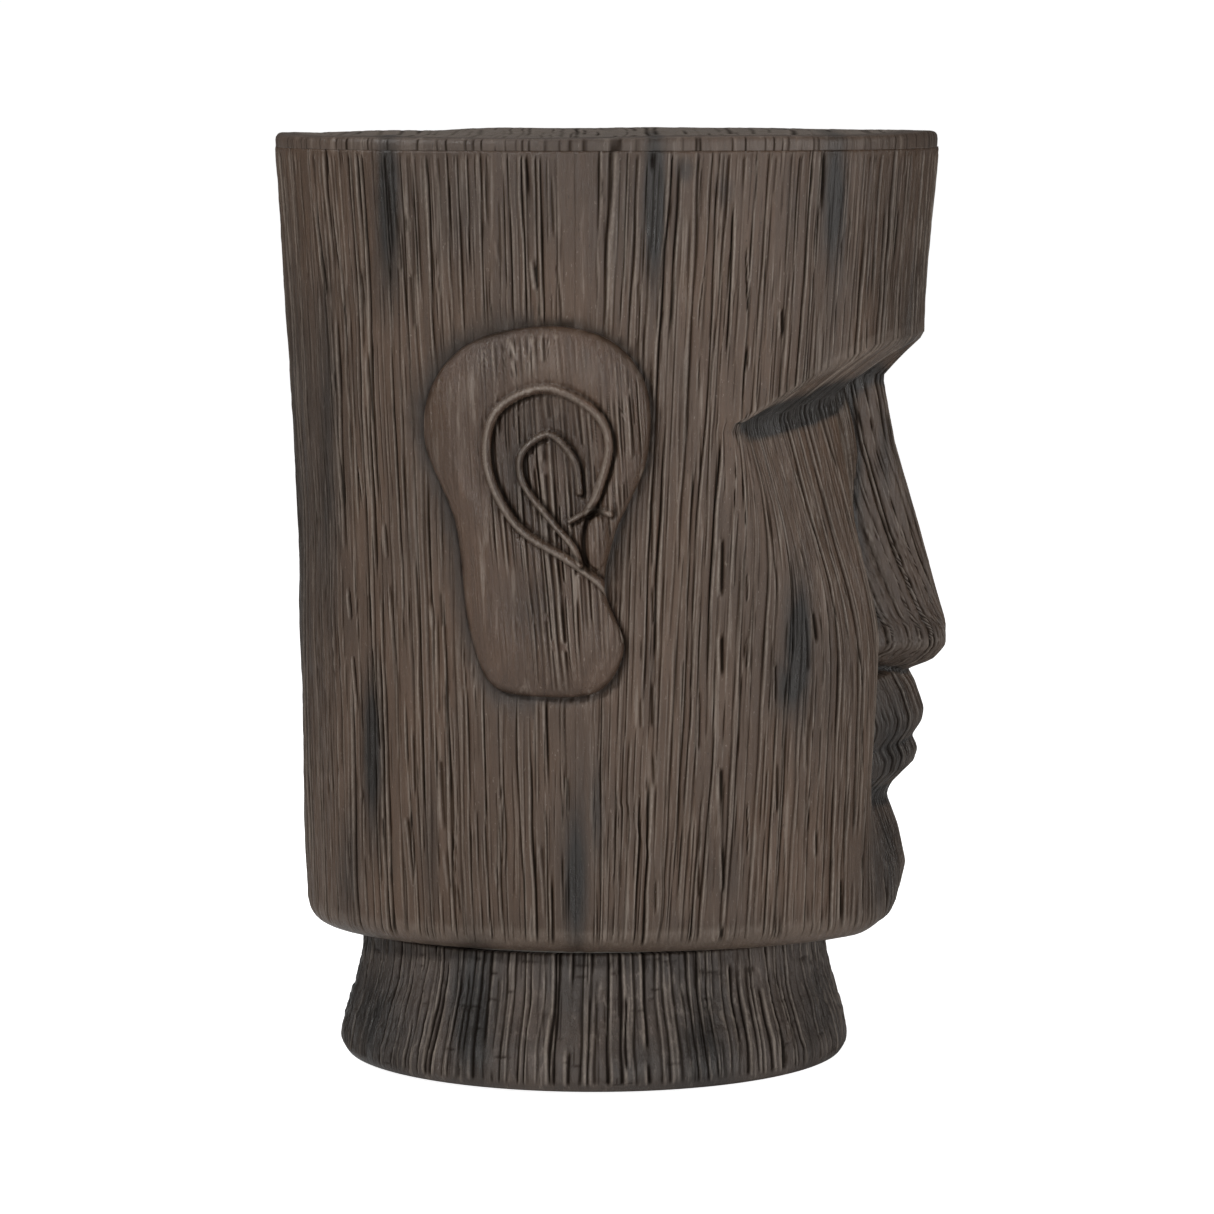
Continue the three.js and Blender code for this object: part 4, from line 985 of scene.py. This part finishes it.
def stained_cast(name, brown, dark, grain_bump, roughness):
    """Brown stain over a cast surface: black in the lines and in painted shade, grey on the burrs and on
    painted highlights and sheen, blotched with stains and painted shade, semi-gloss.
    """
    n = Nodes(name)
    groove, stain, burr_and_highlight = n.attribute("groove"), n.attribute("stain"), n.attribute("burr_and_highlight")
    streak = n.noise(230, 5, (1, 1, 0.05))
    broad = n.noise(11, 4, (1, 1, 0.5))
    speckle = n.noise(800, 3, (1, 1, 0.4))
    base = n.ramp(broad, (0.32, dark), (0.55, brown), (0.78, scaled(brown, 1.15)))
    base = n.mix(n.grey_ramp(streak, (0.42, 0.0), (0.70, 0.6)), base, scaled(brown, 0.5))
    base = n.mix(n.grey_ramp(streak, (0.30, 0.42), (0.42, 0.0)), base, GREY_WEAR_AND_HIGHLIGHT)
    base = n.mix(n.grey_ramp(speckle, (0.64, 0.0), (0.74, 0.45)), base, GREY_WEAR_AND_HIGHLIGHT)
    base = n.mix(n.grey_ramp(speckle, (0.28, 0.6), (0.36, 0.0)), base, scaled(brown, 0.25))
    # The stain channel darkens by real stains and by painted shade.
    stain_and_shade_blot = n.maths("MULTIPLY", stain, n.grey_ramp(n.noise(34, 5, (1, 1, 0.25)), (0.3, 0.62), (0.6, 1.0)))
    base = n.mix(n.grey_ramp(stain_and_shade_blot, (0.05, 0.0), (0.62, 0.93)), base, BLACK_STAIN_AND_SHADE)
    # The burr channel lightens the burrs with grey wear and painted highlight, and adds painted highlights
    # and sheen.
    wear_and_highlight = n.maths("MULTIPLY", burr_and_highlight, n.grey_ramp(speckle, (0.3, 1.0), (0.6, 0.6)))
    wear_and_highlight = n.maths("MULTIPLY", wear_and_highlight, n.grey_ramp(stain_and_shade_blot, (0.1, 1.0), (0.7, 0.25)))
    base = n.mix(n.grey_ramp(wear_and_highlight, (0.1, 0.0), (0.8, 0.78)), base, GREY_WEAR_AND_HIGHLIGHT)
    # The groove channel darkens the lines, and on the ear paints shade beside the cords and the bud.
    base = n.mix(n.grey_ramp(groove, (0.12, 0.0), (0.75, 0.90)), base, GROOVE_DIRT_AND_SHADE)
    n.link(base, n.shader.inputs["Base Color"])
    rough = n.grey_ramp(n.noise(60, 4, (1, 1, 0.3)), (0.3, roughness - 0.06), (0.7, roughness + 0.12))
    rough = n.maths("ADD", rough, n.maths("MULTIPLY", groove, 0.3), True)
    rough = n.maths("SUBTRACT", rough, n.maths("MULTIPLY", stain_and_shade_blot, 0.16), True)
    n.link(rough, n.shader.inputs["Roughness"])
    n.link(n.grey_ramp(groove, (0.1, 0.42), (0.6, 0.05)), n.shader.inputs["Specular IOR Level"])
    fibres = n.noise(650, 4, (1, 1, 0.05), 0.65)
    grit = n.noise(1500, 2, (1, 1, 0.6))
    fleck = n.noise(330, 5, (1, 1, 0.22), 0.7)
    relief = n.maths("ADD", fibres, n.maths("MULTIPLY", grit, 0.35))
    n.bump(n.maths("ADD", relief, n.maths("MULTIPLY", fleck, 0.8)), grain_bump, 0.0013)
    return n.material


def plain_finish(name, low, high, scale, roughness, metallic, bump, stretch):
    """A mottled finish for the hidden pieces: mortar, splice mat, rods, rubber and zinc."""
    n = Nodes(name)
    n.link(n.ramp(n.noise(scale, 6, stretch), (0.32, low), (0.68, high)), n.shader.inputs["Base Color"])
    n.link(n.grey_ramp(n.noise(scale * 2.3, 4, stretch), (0.3, roughness - 0.1), (0.7, roughness + 0.1)),
           n.shader.inputs["Roughness"])
    n.shader.inputs["Metallic"].default_value = metallic
    n.bump(n.noise(scale * 4, 5, stretch), bump, 0.0004)
    return n.material


BROWN = (0.078, 0.0465, 0.0288)
BROWN_DARK = (0.049, 0.0300, 0.0190)
EAR_BROWN = (0.076, 0.0450, 0.0285)
EAR_DARK = (0.048, 0.0292, 0.0190)
TOP_BROWN = (0.080, 0.054, 0.039)
TOP_DARK = (0.056, 0.041, 0.031)
NECK_BROWN = (0.064, 0.045, 0.034)
NECK_DARK = (0.036, 0.027, 0.022)
# Grey for wear and flecks, and for the painted highlights and sheen in the burr channel.
GREY_WEAR_AND_HIGHLIGHT = (0.228, 0.190, 0.157)
STAINED = {                 # slot: brown, dark brown, depth of the fine grain, roughness
    "stained_head": (BROWN, BROWN_DARK, 0.55, 0.38),
    "stained_ear": (EAR_BROWN, EAR_DARK, 0.60, 0.27),
    "stained_top": (TOP_BROWN, TOP_DARK, 0.4, 0.42),
    "stained_neck": (NECK_BROWN, NECK_DARK, 0.6, 0.42),
}
PLAIN = {                   # slot: low colour, high colour, scale, roughness, metallic, bump, stretch
    "mortar": ((0.22, 0.21, 0.19), (0.36, 0.34, 0.31), 220, 0.85, 0.0, 0.3, (1, 1, 1)),
    "splice_mat": ((0.34, 0.32, 0.27), (0.52, 0.49, 0.42), 160, 0.8, 0.0, 0.3, (1, 3, 0.4)),
    "glass_rod": ((0.45, 0.38, 0.22), (0.62, 0.54, 0.34), 500, 0.45, 0.0, 0.3, (0.1, 1, 1)),
    "rubber_pad": ((0.010, 0.010, 0.010), (0.022, 0.022, 0.021), 900, 0.75, 0.0, 0.3, (1, 1, 1)),
    "zinc_screw": ((0.42, 0.44, 0.47), (0.62, 0.64, 0.66), 700, 0.32, 1.0, 0.12, (1, 1, 1)),
}
materials = {slot: stained_cast(slot, *look) for slot, look in STAINED.items()}
materials.update({slot: plain_finish(slot, *look) for slot, look in PLAIN.items()})


# ---- assembly -------------------------------------------------------------------------------
def finish_piece(piece, node, slot):
    piece.data.materials.clear()
    piece.data.materials.append(materials[slot])
    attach(piece, "root")
    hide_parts(node)


CARVED = (
    (head_shell("carved_front_shell", True, 11), "head_front_shell", "stained_head"),
    (head_shell("carved_rear_shell", False, 57), "head_rear_shell", "stained_head"),
    (ear("carved_left_ear", 1, 101), "left_ear", "stained_ear"),
    (ear("carved_right_ear", -1, 131), "right_ear", "stained_ear"),
    (neck_plinth("carved_neck", 171), "neck_plinth", "stained_neck"),
    (top_slab("cast_top", 211), "top_slab", "stained_top"),
)
for piece, node, slot in CARVED:
    finish_piece(piece, node, slot)

replaced = {node for _, node, _ in CARVED}
slots = {entry["node"]: entry["material_slot"] for entry in frame["record"]["subparts"]}
for node, shown in frame["nodes"].items():
    if node not in replaced:
        shown.data.materials.clear()
        shown.data.materials.append(materials[slots[node]])

# ---- studio ---------------------------------------------------------------------------------
CAMERA_DISTANCE = 2.6
CAMERA_SETBACK = 0.0024
CAMERA_HEIGHT = 0.553
CAMERA_PITCH = math.radians(6.79)
IMAGE_SIDE = 1214
FOCAL_PIXELS = 4806
SENSOR = 36.0
FLOOR_REACH = 30.0
FLOOR_GLOW = 0.93           # seen by the camera only, to keep the floor as pale as the backdrop
EVEN_LIGHT = 0.105
BACKDROP = 1.02
LIGHTS = (                  # name, place, aim, size and power
    ("key", (-1.5, 1.7, 1.7), (0, 0, 0.15), (0.5, 0.5), 46),
    ("front", (-2.6, -0.7, 0.6), (0, 0, 0.1), (0.6, 0.6), 20),
    ("strip", (-1.3, -1.7, 0.8), (0, -0.05, 0.28), (0.16, 1.3), 17),
    ("top", (0.2, 0.2, 2.6), (0, 0, 0.4), (2.0, 2.0), 18),
)


def studio_floor():
    mesh = bpy.data.meshes.new("floor")
    reach = FLOOR_REACH
    corners = [(-reach, -reach, 0), (reach, -reach, 0), (reach, reach, 0), (-reach, reach, 0)]
    mesh.from_pydata(corners, [], [(0, 1, 2, 3)])
    floor = bpy.data.objects.new("floor", mesh)
    bpy.context.scene.collection.objects.link(floor)
    n = Nodes("pale_floor")
    n.link(n.grey_ramp(n.noise(3, 2), (0.3, 0.86), (0.7, 0.88)), n.shader.inputs["Base Color"])
    n.shader.inputs["Roughness"].default_value = 0.9
    n.shader.inputs["Emission Color"].default_value = (1, 1, 1, 1)
    seen = n.add("ShaderNodeLightPath").outputs["Is Camera Ray"]
    n.link(n.maths("MULTIPLY", seen, FLOOR_GLOW), n.shader.inputs["Emission Strength"])
    mesh.materials.append(n.material)


def soft_light(name, place, target, size, power):
    data = bpy.data.lights.new(name, "AREA")
    data.shape = "RECTANGLE"
    data.size, data.size_y = size
    data.energy = power
    light = bpy.data.objects.new(name, data)
    bpy.context.scene.collection.objects.link(light)
    from_to = Vector(target) - Vector(place)
    light.location = place
    light.rotation_euler = from_to.to_track_quat("-Z", "Y").to_euler()


def studio_camera():
    data = bpy.data.cameras.new("camera")
    data.sensor_width = SENSOR
    data.lens = SENSOR * FOCAL_PIXELS / IMAGE_SIDE
    camera = bpy.data.objects.new("camera", data)
    bpy.context.scene.collection.objects.link(camera)
    camera.location = (-CAMERA_DISTANCE, CAMERA_SETBACK, CAMERA_HEIGHT)
    camera.rotation_euler = (math.pi / 2 - CAMERA_PITCH, 0, -math.pi / 2)
    bpy.context.scene.camera = camera


def studio_world():
    """White behind the object, and a softer even light on it."""
    world = bpy.data.worlds.new("studio")
    world.use_nodes = True
    tree = world.node_tree
    even = tree.nodes["Background"]
    even.inputs["Color"].default_value = (1, 1, 1, 1)
    even.inputs["Strength"].default_value = EVEN_LIGHT
    white = tree.nodes.new("ShaderNodeBackground")
    white.inputs["Color"].default_value = (1, 1, 1, 1)
    white.inputs["Strength"].default_value = BACKDROP
    choose = tree.nodes.new("ShaderNodeMixShader")
    rays = tree.nodes.new("ShaderNodeLightPath")
    tree.links.new(rays.outputs["Is Camera Ray"], choose.inputs["Fac"])
    tree.links.new(even.outputs["Background"], choose.inputs[1])
    tree.links.new(white.outputs["Background"], choose.inputs[2])
    tree.links.new(choose.outputs["Shader"], tree.nodes["World Output"].inputs["Surface"])
    bpy.context.scene.world = world


studio_floor()
studio_camera()
studio_world()
for light in LIGHTS:
    soft_light(*light)
bpy.context.scene.view_settings.view_transform = "Standard"
